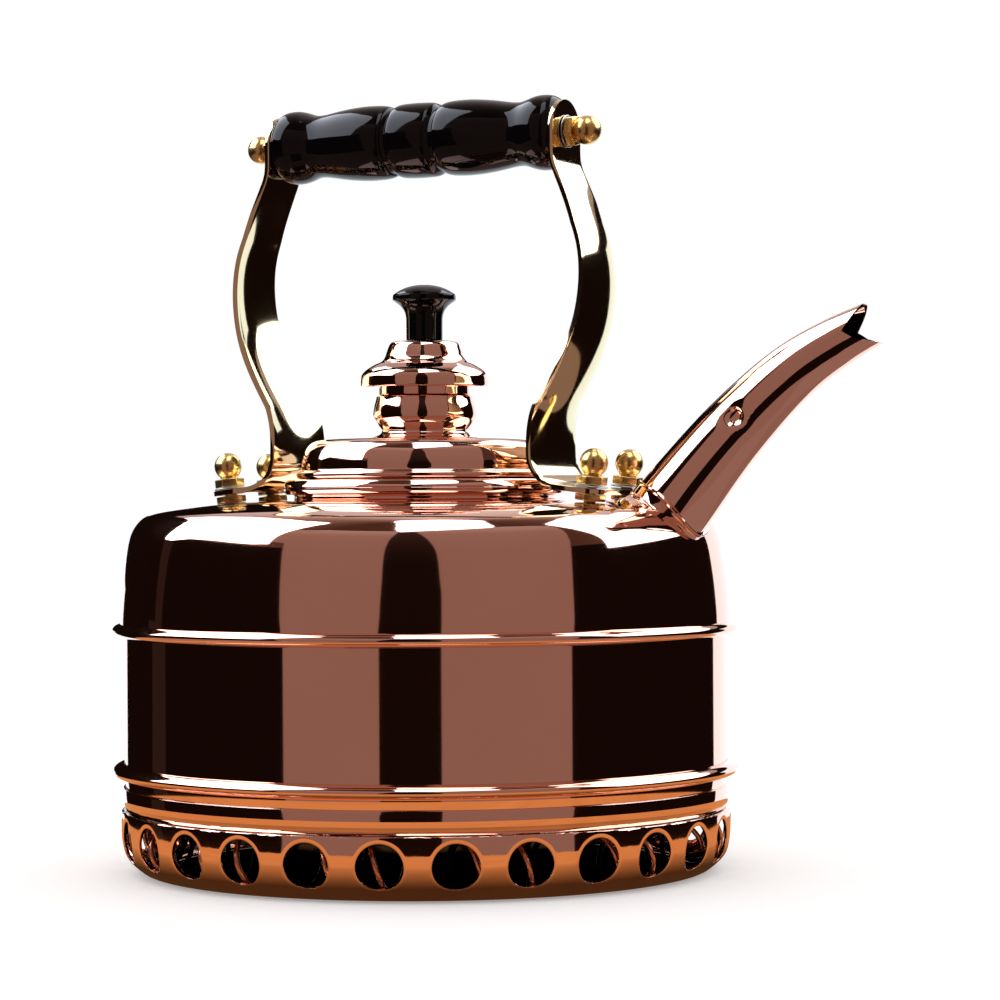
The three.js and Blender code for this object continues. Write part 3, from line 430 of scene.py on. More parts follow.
# %% Near-black copper, painted shade
def make_shade_copper():
    # Painted shade: the hoop sits in the dark inside the ring, so its copper is drawn near black.
    material, tree, shader = new_material("painted shade copper", (0.055, 0.055, 0.06), 1, 0.12)
    shade_cloud = noise(tree, object_place(tree), 90, 3)
    colour = mixed_colour(tree, shade_cloud, (0.03, 0.03, 0.033), (0.09, 0.09, 0.1))
    vary(tree, shader, colour, ranged(tree, shade_cloud, 0.1, 0.3))
    return material


painted_shade_copper = make_shade_copper()

# %% [markdown]
# Brass comes in two finishes here. The arms of the handle are polished as bright as the
# copper. The ball nuts come straight from the lathe: they have a satin sheen, which spreads
# each highlight into a soft band.

# %% Brass and steel
def brass(name, light, deep, roughness, marks, mark_depth):
    material, tree, shader = new_material(name, light, 1, roughness[0])
    place = object_place(tree)
    cloud = noise(tree, place, 60, 3)
    colour = mixed_colour(tree, cloud, deep, light)
    vary(tree, shader, colour, ranged(tree, cloud, roughness[1], roughness[0]))
    bumps(tree, shader, [(noise(tree, place, marks, 3), mark_depth, 0.05 * MM)])
    return material


arm_brass = brass("polished brass", (0.86, 0.74, 0.47), (0.8, 0.65, 0.37), (0.05, 0.1), 45, 0.25)
nut_brass = brass("turned brass", (0.85, 0.62, 0.25), (0.76, 0.5, 0.17), (0.2, 0.3), 1400, 0.12)
washer_steel = brass("plain steel", (0.62, 0.63, 0.65), (0.5, 0.51, 0.53), (0.25, 0.4), 900, 0.2)

# %% [markdown]
# The grip and the knob are turned wood under many coats of black lacquer. The wood hardly
# shows: it is a faint streak in a colour that is nearly black. The lacquer is what one sees,
# so the surface is very smooth and its gloss is high.

# %% Black lacquer
def black_lacquer():
    material, tree, shader = new_material("black lacquer", (0.001, 0.001, 0.001), 0, 0.04)
    place = object_place(tree)
    stretch = add_node(tree, "ShaderNodeMapping", Vector=place, Scale=(12, 160, 160))
    grain = noise(tree, stretch.outputs[0], 1, 4)
    colour = mixed_colour(tree, grain, (0.0008, 0.0006, 0.0008), (0.003, 0.002, 0.002))
    vary(tree, shader, colour, ranged(tree, noise(tree, place, 30, 2), 0.03, 0.08))
    bumps(tree, shader, [(grain, 0.06, 0.05 * MM)])
    shader.inputs["Specular IOR Level"].default_value = 0.2
    return material


lacquer = black_lacquer()
print("materials:", len(bpy.data.materials))

# %% [markdown]
# ## The shoulder
# The shoulder is one sheet of copper, spun over a form. It runs nearly flat from the filler
# opening, turns down in a quick round and ends in a skirt that laps over the wall. Its
# line is drawn once and spun, and the sheet gets its thickness afterwards.

# %% Shoulder shell
BODY_SIDES = 192
SHOULDER_FLAT = [(0.419, 1), (0.488, 1)]
SHOULDER_CURVE = [
    (0.488, 1), (0.566, 0.994), (0.657, 0.981), (0.778, 0.949), (0.848, 0.924), (0.895, 0.898),
    (0.923, 0.868), (0.943, 0.822), (0.9585, 0.763), (0.968, 0.698), (0.9755, 0.615),
    (0.9825, 0.51), (0.99, 0.375), (0.997, 0.2), (1, 0.07), (1, 0),
]
shoulder_line = node_line("shoulder_shell", SHOULDER_FLAT) + flowing(
    node_line("shoulder_shell", SHOULDER_CURVE), 90)[1:]


def shoulder_height(radius):
    radii = [r for r, _ in shoulder_line]
    heights = [h for _, h in shoulder_line]
    return float(np.interp(radius, radii, heights))


shoulder = turned("shoulder_shell_spun", shoulder_line, BODY_SIDES, wall=SHEET)
dress(shoulder, copper, "copper", "kettle", "shoulder_shell")

# %% [markdown]
# ## Wall and beads
# The wall is a plain band. A half-round bead is soldered over each of its seams. A bead made
# as a ring of its own throws a thin bright line and a thin shadow, which a bulge in the wall
# wouldn't.

# %% Wall band
wall_line = node_line("wall_band", [(1, 0), (1, 0.35), (1, 0.7), (1, 1)])
wall = turned("wall_band_rolled", wall_line, BODY_SIDES, wall=SHEET)
dress(wall, copper, "copper", "kettle", "wall_band")

# %% Beads
BEAD_SHARES = [(0.02, 0.98), (0.1, 0.93), (0.3, 0.87), (0.62, 0.72), (0.88, 0.42), (1, 0)]


def half_round_bead(name, node):
    low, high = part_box(node)
    tip = (high.y - low.y) / 2
    root = WALL_RADIUS + 0.05 * MM
    middle, half = (low.z + high.z) / 2, (high.z - low.z) / 2
    upper = [(root + d * (tip - root), middle + h * half) for d, h in BEAD_SHARES]
    lower = [(r, 2 * middle - z) for r, z in reversed(upper[:-1])]
    line = flowing(upper + lower, 36)
    inner = [(root, line[-1][1]), (root, line[0][1]), line[0]]
    return turned(name, line + inner, BODY_SIDES)


for bead in ("upper_bead", "lower_bead"):
    dress(half_round_bead(bead + "_round", bead), copper, "copper", "kettle", bead)

# %% [markdown]
# ## Base hoop and plate
# Under the lower bead comes a hoop with a shallow cove, a plain band and a step, and inside
# it the base plate closes the body. The plate has a few pressed rings, which keep a
# flat base from drumming when the water boils.

# %% Base hoop and base plate
HOOP_SHARES = [
    (0.9962, 1), (0.9962, 0.91), (0.9948, 0.75), (0.9925, 0.58), (0.9925, 0.575), (0.9995, 0.573), (1, 0.56),
    (1, 0.35), (1, 0.185), (0.9985, 0.165), (0.9945, 0.08), (0.9905, 0),
]
hoop_line = node_line("base_hoop", HOOP_SHARES)
hoop = turned("base_hoop_spun", hoop_line, BODY_SIDES, wall=SHEET * 0.8, edge=0.15 * MM)
dress(hoop, copper, "copper", "kettle", "base_hoop")

PLATE_SHARES = [(0, 1), (0.2, 1), (0.24, 0.68), (0.3, 0.68), (0.34, 1), (0.6, 1), (0.64, 0.68), (0.7, 0.68),
                (0.74, 1), (0.93, 1), (0.965, 0.75), (1, 0.75)]
plate_line = flowing(node_line("base_plate", PLATE_SHARES), 70)
plate = turned("base_plate_pressed", plate_line, BODY_SIDES, wall=THIN_SHEET)
dress(plate, copper, "copper", "kettle", "base_plate")

# %% [markdown]
# ## The perforated heat ring
# The ring was punched while it was flat and then formed, so its holes follow the curve of
# the wall, and the punch drew the sheet in a little round each of them. It is made the same
# way here: one flat tile with a round hole is modelled, an Array modifier repeats it, and the
# strip is wrapped on the ring's own line. A Boolean cut would leave long thin faces round
# each hole, and they spoil a mirror.

# %% The ring's line
HOLE_COUNT = 27
HOLE_RADIUS = 7.35 * MM
HOLE_HEIGHT = 10.5 * MM
FIRST_HOLE = math.radians(-56.65)
RING_TOP_SHARES = [(0.9413, 1), (0.96, 1), (0.985, 1), (0.997, 1), (0.9994, 0.995), (1, 0.98), (1, 0.8)]
RING_CURVE_SHARES = [
    (1, 0.8), (1, 0.66), (0.9985, 0.545), (0.995, 0.445), (0.99, 0.35), (0.9805, 0.25), (0.9625, 0.15),
    (0.942, 0.066), (0.93, 0.026), (0.916, 0.004),
]
RING_TOE_SHARES = [(0.9, 0), (0.8704, 0)]
ring_line = (node_line("heat_ring", RING_TOP_SHARES)
             + flowing(node_line("heat_ring", RING_CURVE_SHARES), 90)[1:]
             + node_line("heat_ring", RING_TOE_SHARES))
ring_radii = [r for r, _ in ring_line]
ring_heights = [h for _, h in ring_line]
ring_along = lengths_along(ring_line)
RING_RADIUS = max(ring_radii)
TILE_WIDTH = 2 * math.pi * RING_RADIUS / HOLE_COUNT
below_top = range(len(RING_TOP_SHARES), len(ring_line))
hole_row = min(below_top, key=lambda i: abs(ring_heights[i] - HOLE_HEIGHT))
HOLE_ALONG = float(ring_along[hole_row])
print("ring line", round(float(ring_along[-1]) / MM, 1), "mm long, holes at", round(HOLE_ALONG / MM, 1), "mm")


# %% Selecting by place
def pick(piece, kind, wanted):
    """Selects the vertices, edges or faces whose centre passes the test, and enters edit mode."""
    select_only(piece)
    mesh = piece.data
    for group in (mesh.vertices, mesh.edges, mesh.polygons):
        for item in group:
            item.select = False
    for item in getattr(mesh, kind):
        corners = [item.co] if kind == "vertices" else [mesh.vertices[i].co for i in item.vertices]
        item.select = wanted(sum(corners, Vector()) / len(corners))
    modes = {"vertices": "VERT", "edges": "EDGE", "polygons": "FACE"}
    bpy.ops.object.mode_set(mode="EDIT")
    bpy.ops.mesh.select_mode(type=modes[kind])


# %% One flat tile with its hole
RIM_SIDES = 64
RIM_GROWTHS = (1.03, 1.035, 1.045, 1.06)
TILE_HALF_HEIGHT = 9.6 * MM
FIELD_ROWS = 6


def on_rectangle(turn):
    """The point of the tile's edge that belongs to one direction, a corner at each 45 degrees."""
    side = round(turn / (math.pi / 2))
    share = (turn - side * math.pi / 2) / (math.pi / 4)
    wide, high = TILE_WIDTH / 2, TILE_HALF_HEIGHT
    sides = ((wide, share * high), (-share * wide, high), (-wide, -share * high), (share * wide, -high))
    return sides[side % 4]


def flat_tile():
    """The hole's circle, grown outwards in rims. The outer rims are drawn out square."""
    growths = RIM_GROWTHS + (2,) * FIELD_ROWS
    tile = grown_circle("heat_ring_punched", RIM_SIDES, HOLE_RADIUS, growths)
    last_rim = HOLE_RADIUS * math.prod(RIM_GROWTHS)
    for vertex in tile.data.vertices:
        row = round(math.log2(vertex.co.length / last_rim))
        if row > 0:
            turn = math.atan2(vertex.co.y, vertex.co.x)
            rim = last_rim * Vector((math.cos(turn), math.sin(turn), 0))
            vertex.co = rim.lerp(Vector((*on_rectangle(turn), 0)), row / FIELD_ROWS)
    return tile


def grown_rows(tile, side, length, rows):
    """Extrudes the tile's upper or lower edge in rows, up to the end of the ring's line."""
    edge = side * TILE_HALF_HEIGHT
    pick(tile, "edges", lambda place: abs(place.y - edge) < 0.01 * MM)
    for _ in range(rows):
        bpy.ops.mesh.extrude_edges_move(TRANSFORM_OT_translate={"value": (0, side * length / rows, 0)})
    bpy.ops.object.mode_set(mode="OBJECT")


tile = flat_tile()
grown_rows(tile, 1, HOLE_ALONG - TILE_HALF_HEIGHT, 9)
grown_rows(tile, -1, float(ring_along[-1]) - HOLE_ALONG - TILE_HALF_HEIGHT, 16)
print("one tile has", len(tile.data.polygons), "faces")

# %% The strip, wrapped and thickened
DRAW_IN_WIDTH = 1 * MM
DRAW_IN_DEPTH = 0.22 * MM


def wrapped_ring(strip):
    apply_modifier(
        strip, "ARRAY", count=HOLE_COUNT, use_relative_offset=False, use_constant_offset=True,
        constant_offset_displace=(TILE_WIDTH, 0, 0), use_merge_vertices=True, merge_threshold=0.01 * MM)
    slopes = np.gradient(np.array(ring_line), ring_along, axis=0)
    for vertex in strip.data.vertices:
        across, down = vertex.co.x, HOLE_ALONG - vertex.co.y
        radius = np.interp(down, ring_along, ring_radii)
        height = np.interp(down, ring_along, ring_heights)
        nearest = (across + TILE_WIDTH / 2) % TILE_WIDTH - TILE_WIDTH / 2
        from_rim = math.hypot(nearest, vertex.co.y) - HOLE_RADIUS
        if from_rim < DRAW_IN_WIDTH:
            inset = DRAW_IN_DEPTH * (1 - max(from_rim, 0) / DRAW_IN_WIDTH) ** 2
            slope = (np.interp(down, ring_along, slopes[:, 0]), np.interp(down, ring_along, slopes[:, 1]))
            size = math.hypot(*slope)
            radius += inset * slope[1] / size
            height -= inset * slope[0] / size
        turn = FIRST_HOLE + across / RING_RADIUS
        vertex.co = (AXIS.x + radius * math.cos(turn), AXIS.y + radius * math.sin(turn), height)
    clean(strip)
    apply_modifier(strip, "SOLIDIFY", thickness=SHEET, offset=-1)
    soften_edges(strip, 0.18 * MM, degrees=50)
    smooth(strip, 50)
    return strip


heat_ring = wrapped_ring(tile)
dress(heat_ring, copper, "copper", "kettle", "heat_ring")

# %% [markdown]
# ## What is behind the holes
# A loose coil of copper wire lies in the ring. It spreads the flame's heat, and it is the
# slanted line that one sees through each hole. Behind it a low hoop keeps the coil in place.
# The hoop is near black, a painted shade, as it sits in the dark inside the ring.

# %% Wire coil
COIL_CURLS = 38.6
CURLS_IN_A_TURN = 39
CURL_POINTS = 26
WIRE_RADIUS = 0.85 * MM
coil_low, coil_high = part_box("heat_coil")
COIL_MEAN_RADIUS = (coil_high.z - coil_low.z) / 2 - WIRE_RADIUS
COIL_PLACE = 87.45 * MM
COIL_START = math.radians(3)


def wire_coil():
    """A round wire along a line that curls round the circle in the middle of the ring."""
    data = bpy.data.curves.new("heat_coil_wire", "CURVE")
    data.dimensions = "3D"
    data.bevel_depth = WIRE_RADIUS
    data.bevel_resolution = 3
    data.use_fill_caps = True
    spline = data.splines.new("POLY")
    steps = round(COIL_CURLS * CURL_POINTS)
    spline.points.add(steps)
    for i in range(steps + 1):
        curl = i / CURL_POINTS
        turn, about = COIL_START - 2 * math.pi * curl / CURLS_IN_A_TURN, 2 * math.pi * curl
        reach = COIL_PLACE + COIL_MEAN_RADIUS * math.cos(about)
        height = (coil_low.z + coil_high.z) / 2 + COIL_MEAN_RADIUS * math.sin(about)
        spline.points[i].co = (AXIS.x + reach * math.cos(turn), reach * math.sin(turn), height, 1)
    piece = bpy.data.objects.new("heat_coil_wire", data)
    bpy.context.collection.objects.link(piece)
    select_only(piece)
    bpy.ops.object.convert(target="MESH")
    piece = bpy.context.object
    clean(piece)
    smooth(piece, 50)
    return piece


dress(wire_coil(), coil_copper, "copper_wire", "kettle", "heat_coil")

# %% Retaining hoop
RETAINER_SHARES = [(1, 0.02), (1, 0.3), (1, 0.7), (1, 0.98)]
retainer_line = node_line("coil_retainer", RETAINER_SHARES)
retainer = turned("coil_retainer_hoop", retainer_line, 128, wall=THIN_SHEET, edge=0.15 * MM)
dress(retainer, painted_shade_copper, "copper", "kettle", "coil_retainer")

# %% [markdown]
# ## Filler collar and lid
# The collar is two rolled beads with a joint between them. The lid is built up like a small
# tower: a flange that rests on the collar, a dome, a waisted cup, a crown with a wide brim and
# the knob. Each is spun from its own sheet, so each is a piece of its own here, and the
# joints between them are real ones.

# %% Filler collar
LEDGE_SHARES = [(0.86, 1), (0.95, 1), (0.965, 0.99)]
UPPER_ROLL = [(0.965, 0.99), (0.975, 0.96), (0.986, 0.9), (0.9955, 0.835), (1, 0.79)]
LOWER_ROLL = [(0.9985, 0.745), (0.9975, 0.7), (0.992, 0.64), (0.983, 0.59), (0.972, 0.555), (0.955, 0.54)]
COLLAR_FOOT = [(0.925, 0.535), (0.919, 0.5), (0.918, 0.45), (0.922, 0.4), (0.935, 0.378)]


def filler_collar():
    bore = radius_of("lid_skirt") + 0.7 * MM
    low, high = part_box("filler_collar")
    line = (node_line("filler_collar", LEDGE_SHARES[:2])
            + flowing(node_line("filler_collar", UPPER_ROLL), 18)
            + [(radius_of("filler_collar") * 0.9945, low.z + 0.768 * (high.z - low.z))]
            + flowing(node_line("filler_collar", LOWER_ROLL), 18)
            + flowing(node_line("filler_collar", COLLAR_FOOT), 10))
    foot = low.z + 0.378 * (high.z - low.z)
    neck = [(bore + 1.5 * MM, foot), (bore + 1.5 * MM, low.z), (bore, low.z), (bore, high.z)]
    return turned("filler_collar_rolled", line + neck + line[:1], 160)


dress(filler_collar(), lid_copper, "copper", "kettle", "filler_collar")

# %% Lid dome and its skirt
FLANGE_SHARES = [(0.93, 0.005), (0.985, 0.01), (0.997, 0.05), (1, 0.1), (0.993, 0.15), (0.975, 0.175),
                 (0.962, 0.195), (0.956, 0.235)]
DOME_SHARES = [(0.956, 0.235), (0.9555, 0.32), (0.951, 0.43), (0.94, 0.57), (0.926, 0.7), (0.906, 0.81),
               (0.876, 0.9), (0.83, 0.957), (0.76, 0.985), (0.62, 0.997), (0.35, 1)]
dome_line = (flowing(node_line("lid_dome", FLANGE_SHARES), 22)
             + flowing(node_line("lid_dome", DOME_SHARES), 60)[1:]
             + node_line("lid_dome", [(0.055, 1)]))
dome = turned("lid_dome_spun", dome_line, 160, wall=THIN_SHEET)
dress(dome, lid_copper, "copper", "lid", "lid_dome")

SKIRT_SHARES = [(0.985, 0), (1, 0.05), (1, 0.5), (1, 1)]
skirt = turned("lid_skirt_rolled", node_line("lid_skirt", SKIRT_SHARES), 96, wall=0.8 * MM, edge=0.1 * MM)
dress(skirt, lid_copper, "copper", "lid", "lid_skirt")

# %% Lid neck and crown
NECK_SHARES = [
    (1.09, 0.004), (1.0, 0.03), (0.915, 0.068), (0.862, 0.115), (0.845, 0.165), (0.862, 0.22), (0.91, 0.295),
    (0.968, 0.395), (1.004, 0.5), (1.012, 0.575), (1.007, 0.66), (0.985, 0.8), (0.957, 0.93), (0.947, 0.99),
]
neck_line = flowing(node_line("lid_neck", NECK_SHARES), 60) + node_line("lid_neck", [(0.93, 1), (0.87, 1)])
neck = turned("lid_neck_waisted", neck_line, 120, wall=THIN_SHEET)
dress(neck, lid_copper, "copper", "lid", "lid_neck")

CROWN_RECESS = [(0.69, 0), (0.7115, 0.02), (0.7115, 0.145)]
BRIM_SHARES = [(0.72, 0.147), (0.965, 0.147), (0.989, 0.155), (1, 0.19), (1, 0.25), (0.996, 0.32),
               (0.981, 0.385), (0.957, 0.425), (0.905, 0.48), (0.837, 0.53), (0.75, 0.585), (0.67, 0.63),
               (0.637, 0.672)]
TIER_SHARES = [(0.637, 0.672), (0.618, 0.71), (0.603, 0.765), (0.575, 0.86), (0.55, 0.93), (0.52, 0.97),
               (0.47, 0.99), (0.3, 1)]
crown_line = (node_line("lid_crown", CROWN_RECESS) + node_line("lid_crown", BRIM_SHARES[:1])
              + flowing(node_line("lid_crown", BRIM_SHARES[1:]), 50)
              + flowing(node_line("lid_crown", TIER_SHARES), 34)[1:])
lid_crown = turned("lid_crown_spun", crown_line, 120, wall=THIN_SHEET)
dress(lid_crown, lid_copper, "copper", "lid", "lid_crown")

# %% Turned knob
STEM_SHARES = [(0.3, 0), (0.56, 0), (0.573, 0.01), (0.574, 0.2), (0.576, 0.38)]
FLARE_SHARES = [(0.576, 0.38), (0.592, 0.45), (0.632, 0.52), (0.71, 0.59), (0.81, 0.645), (0.92, 0.69),
                (0.985, 0.72)]
RIM_SHARES = [(0.996, 0.728), (1, 0.74), (0.998, 0.79), (0.989, 0.818), (0.975, 0.828)]
CAP_SHARES = [(0.975, 0.828), (0.89, 0.862), (0.74, 0.912), (0.55, 0.957), (0.33, 0.987), (0.12, 0.999),
              (0, 1)]
knob_line = (node_line("lid_knob", STEM_SHARES) + flowing(node_line("lid_knob", FLARE_SHARES), 24)[1:]
             + node_line("lid_knob", RIM_SHARES) + flowing(node_line("lid_knob", CAP_SHARES), 26)[1:])
knob = turned("lid_knob_turned", [(0, knob_line[0][1])] + knob_line, 112)
dress(knob, lacquer, "black_lacquer", "lid", "lid_knob")

# %% [markdown]
# ## The spout
# A spout like this starts as a straight taper, gets its mouth cut and its dimple punched, and
# is bent last. The same order is kept here. On the straight tube the notch is one wedge, and
# the dimple is a push towards the centre line, and both then follow the bend.

# %% The spout's centre line
SPOUT_FOOT_INSET = 11.6 * MM
SPOUT_FOOT_DROP = 4.9 * MM
SPOUT_FOOT_SLOPE = math.radians(48.8)
SPOUT_FOOT_RUN = 33.3 * MM
SPOUT_REACH = 69.4 * MM
SPOUT_RISE = 58.2 * MM
SPOUT_INSIDE = 13 * MM
SPOUT_SHARES = [(0.61, 0.747), (0.814, 0.895), (1, 1)]
SPOUT_FOOT_RADIUS = 12.8 * MM
SPOUT_MOUTH_RADIUS = 6.7 * MM
TAPER_SHARES = [(0, 0), (0.4, 0.36), (0.7, 0.66), (0.86, 0.84), (1, 1)]
FOOT = Vector((AXIS.x + WALL_RADIUS - SPOUT_FOOT_INSET, 0, shoulder_line[0][1] - SPOUT_FOOT_DROP))


def centripetal(points, steps):
    """A Catmull-Rom line through points whose knots follow the square root of each span."""
    points = [2 * points[0] - points[1]] + points + [2 * points[-1] - points[-2]]
    line = []
    for i in range(1, len(points) - 2):
        four = points[i - 1:i + 3]
        gaps = [max((b - a).length, 1e-9) ** 0.5 for a, b in zip(four, four[1:])]
        start = (four[1] - four[0]) / gaps[0] - (four[2] - four[0]) / (gaps[0] + gaps[1])
        start = (start + (four[2] - four[1]) / gaps[1]) * gaps[1]
        end = (four[2] - four[1]) / gaps[1] - (four[3] - four[1]) / (gaps[1] + gaps[2])
        end = (end + (four[3] - four[2]) / gaps[2]) * gaps[1]
        for k in range(steps):
            line.append(hermite(four[1], start, four[2], end, k / steps))
    return line + [points[-2]]


def spout_line():
    outward = Vector((math.cos(SPOUT_FOOT_SLOPE), 0, math.sin(SPOUT_FOOT_SLOPE)))
    marks = [FOOT - SPOUT_INSIDE * outward, FOOT, FOOT + SPOUT_FOOT_RUN * outward]
    marks += [FOOT + Vector((x * SPOUT_REACH, 0, z * SPOUT_RISE)) for x, z in SPOUT_SHARES]
    return centripetal(marks, 60)


centre_line = np.array([list(p) for p in spout_line()])
centre_along = lengths_along(centre_line)
SPOUT_LENGTH = float(centre_along[-1])
print("spout centre line", round(SPOUT_LENGTH / MM, 1), "mm, tip at", centre_line[-1].round(4))


def on_centre_line(distance):
    return Vector([float(np.interp(distance, centre_along, centre_line[:, k])) for k in range(3)])


def centre_at(distance):
    """The place on the centre line at a distance from its foot, and the line's direction there."""
    distance = min(max(distance, 0), SPOUT_LENGTH)
    before, after = max(distance - MM, 0), min(distance + MM, SPOUT_LENGTH)
    return on_centre_line(distance), (on_centre_line(after) - on_centre_line(before)).normalized()


def bent(piece):
    """Bends a piece that stands on Z along the spout's centre line."""
    for vertex in piece.data.vertices:
        place, along = centre_at(vertex.co.z)
        beyond = vertex.co.z - min(max(vertex.co.z, 0), SPOUT_LENGTH)
        up = along.cross(ACROSS).normalized()
        vertex.co = place + up * vertex.co.x + ACROSS * vertex.co.y + along * beyond
    return piece


def spout_radius(distance):
    share = max(distance - SPOUT_INSIDE, 0) / (SPOUT_LENGTH - SPOUT_INSIDE)
    taper = np.interp(share, [s for s, _ in TAPER_SHARES], [t for _, t in TAPER_SHARES])
    return SPOUT_FOOT_RADIUS + (SPOUT_MOUTH_RADIUS - SPOUT_FOOT_RADIUS) * float(taper)


# %% The straight tube and its mouth
SPOUT_SIDES = 128
SPOUT_ROWS = 190
TUBE_KNOTS = (0, 0.08, 0.16, 0.3, 0.48, 0.66, 0.8, 0.9, 1)
NOTCH_DEPTH = 8.8 * MM
NOTCH_RISE = 0.9 * MM
NOTCH_LOWER_SIDE = [(-0.27, 0.2), (-0.54, 0.46), (-0.8, 0.74), (-1, 1)]
WEDGE_REACH = 12 * MM
MOUTH_SLANT = math.tan(math.radians(9))


def straight_tube():
    knots = [(spout_radius(share * SPOUT_LENGTH), share * SPOUT_LENGTH) for share in TUBE_KNOTS]
    tube = turned("spout_tube_bent", flowing(knots, SPOUT_ROWS), SPOUT_SIDES, centre=ORIGIN)
    apply_modifier(tube, "SOLIDIFY", thickness=SHEET, offset=-1, use_even_offset=True)
    return tube


def slant_mouth(tube):
    """Draws the lower lip out beyond the upper one. The slant fades out over the last third."""
    for vertex in tube.data.vertices:
        share = min(max((vertex.co.z / SPOUT_LENGTH - 0.7) / 0.3, 0), 1)
        vertex.co.z -= vertex.co.x * MOUTH_SLANT * share * share


def notch_wedge():
    """A wedge from its apex to beyond the mouth: its upper side is flat, its lower one bulges."""
    top = SPOUT_MOUTH_RADIUS * 1.25
    apex = SPOUT_LENGTH - NOTCH_DEPTH
    end = apex + 1.25 * NOTCH_DEPTH
    outline = [(top, end), (NOTCH_RISE, apex)]
    outline += [(x * top, apex + share * (end - apex)) for x, share in NOTCH_LOWER_SIDE]
    wedge = drawn_line("wedge", [Vector((x, -WEDGE_REACH, z)) for x, z in outline])
    bpy.ops.object.mode_set(mode="EDIT")
    bpy.ops.mesh.select_all(action="SELECT")
    bpy.ops.mesh.edge_face_add()
    bpy.ops.mesh.select_all(action="SELECT")
    bpy.ops.mesh.extrude_region_move(TRANSFORM_OT_translate={"value": (0, 2 * WEDGE_REACH, 0)})
    bpy.ops.object.mode_set(mode="OBJECT")
    clean(wedge)
    return wedge


def cut_away(piece, cutter):
    apply_modifier(piece, "BOOLEAN", operation="DIFFERENCE", object=cutter, solver="EXACT")
    bpy.data.objects.remove(cutter, do_unlink=True)


# %% Dimple, bend and finish of the tube
DIMPLE_SHARE = 0.507
DIMPLE_WIDE = 6.8 * MM
DIMPLE_RIM = 3.65 * MM
DIMPLE_SINK = 0.55 * MM
DIMPLE_DEPTH = 2.3 * MM


def dimple_depth(distance):
    """How far the sheet is pushed in: a shallow dish, then a steep round cup."""
    if distance > DIMPLE_WIDE:
        return 0
    dish = DIMPLE_SINK * (0.5 + 0.5 * math.cos(math.pi * distance / DIMPLE_WIDE))
    if distance > DIMPLE_RIM:
        return dish
    return dish + DIMPLE_DEPTH * (0.5 + 0.5 * math.cos(math.pi * distance / DIMPLE_RIM))


def finer_near_dimple(tube):
    """Divides the faces where the dimple goes, so that its small cup comes out round."""
    height = DIMPLE_SHARE * SPOUT_LENGTH
    pick(tube, "polygons", lambda place: place.y < 0 and abs(place.z - height) < 1.25 * DIMPLE_RIM
         and abs(place.x) < 1.25 * DIMPLE_RIM)
    bpy.ops.mesh.subdivide(number_cuts=3)
    bpy.ops.object.mode_set(mode="OBJECT")


def push_dimple(tube):
    height = DIMPLE_SHARE * SPOUT_LENGTH
    for vertex in tube.data.vertices:
        x, y, z = vertex.co
        if y < 0 and abs(z - height) < DIMPLE_WIDE:
            radius = math.hypot(x, y)
            arc_place = radius * math.atan2(x, -y)
            depth = dimple_depth(math.hypot(arc_place, z - height))
            vertex.co.x, vertex.co.y = x * (radius - depth) / radius, y * (radius - depth) / radius


tube = straight_tube()
slant_mouth(tube)
cut_away(tube, notch_wedge())
finer_near_dimple(tube)
push_dimple(tube)
bent(tube)
clean(tube)
smooth(tube, 35)
dress(tube, spout_copper, "copper", "kettle", "spout_tube")

# %% [markdown]
# The spout is held by a ferrule, a short band with a lip on each edge, and the ferrule stands
# on a saddle. The saddle is a leaf of sheet copper that lies on the shoulder and sweeps up to
# the ferrule in a hollow curve, with a point on either side. It is made as the ring's tile
# is: a circle is laid on the leaf's outline, and its rows run up the curve to the ferrule.

# %% Ferrule
FERRULE_BOTTOM = SPOUT_INSIDE - 2.4 * MM
FERRULE_SIDE_LIFT = 4 * MM
SADDLE_RIM_RADIUS = 13.15 * MM
FERRULE_LINE = [
    (12.6, 0), (13.3, 0), (13.5, 0.2), (13.5, 0.6), (13.3, 0.85), (13.1, 1.05), (13.05, 1.4), (13.05, 3.9),
    (13.1, 4.25), (13.3, 4.45), (13.5, 4.7), (13.5, 5.1), (13.3, 5.3), (12.6, 5.3), (12.6, 0),
]


def over_the_shoulder(piece, gap):
    """Keeps a piece above the body: what would sink into the shoulder is lifted on to it."""
    for vertex in piece.data.vertices:
        radius = math.hypot(vertex.co.x - AXIS.x, vertex.co.y)
        if radius <= shoulder_line[-1][0]:
            vertex.co.z = max(vertex.co.z, shoulder_height(radius) + gap)


def side_lift(y):
    """The ferrule stands higher up the spout at its two sides, over the round of the shoulder."""
    return FERRULE_SIDE_LIFT * min(abs(y) / SADDLE_RIM_RADIUS, 1) ** 2


def ferrule():
    line = [(r * MM, FERRULE_BOTTOM + h * MM) for r, h in FERRULE_LINE]
    band = turned("spout_ferrule_band", line, 128, centre=ORIGIN)
    for vertex in band.data.vertices:
        vertex.co.z += side_lift(vertex.co.y)
    bent(band)
    over_the_shoulder(band, 0.3 * MM)
    smooth(band, 40)
    return band


dress(ferrule(), spout_copper, "copper", "kettle", "spout_ferrule")

# %% Saddle
SADDLE_WING = 48.3 * MM / WALL_RADIUS
SADDLE_BACK_REACH = 18.2 * MM
SADDLE_FOOT = 85.3 * MM
SADDLE_SHARES = [
    (0, -1), (0.203, -0.92), (0.392, -0.588), (0.547, -0.169), (0.766, 0.322), (1, 0.74),
    (0.835, 0.763), (0.675, 0.756), (0.547, 0.78), (0.45, 0.79), (0.36, 0.8), (0, 0.82),
]
SADDLE_SIDES = 128
SADDLE_ROWS = 14
SADDLE_LIMIT = 96.6 * MM
SADDLE_GAP = 0.2 * MM
SADDLE_SHEET = 0.6 * MM


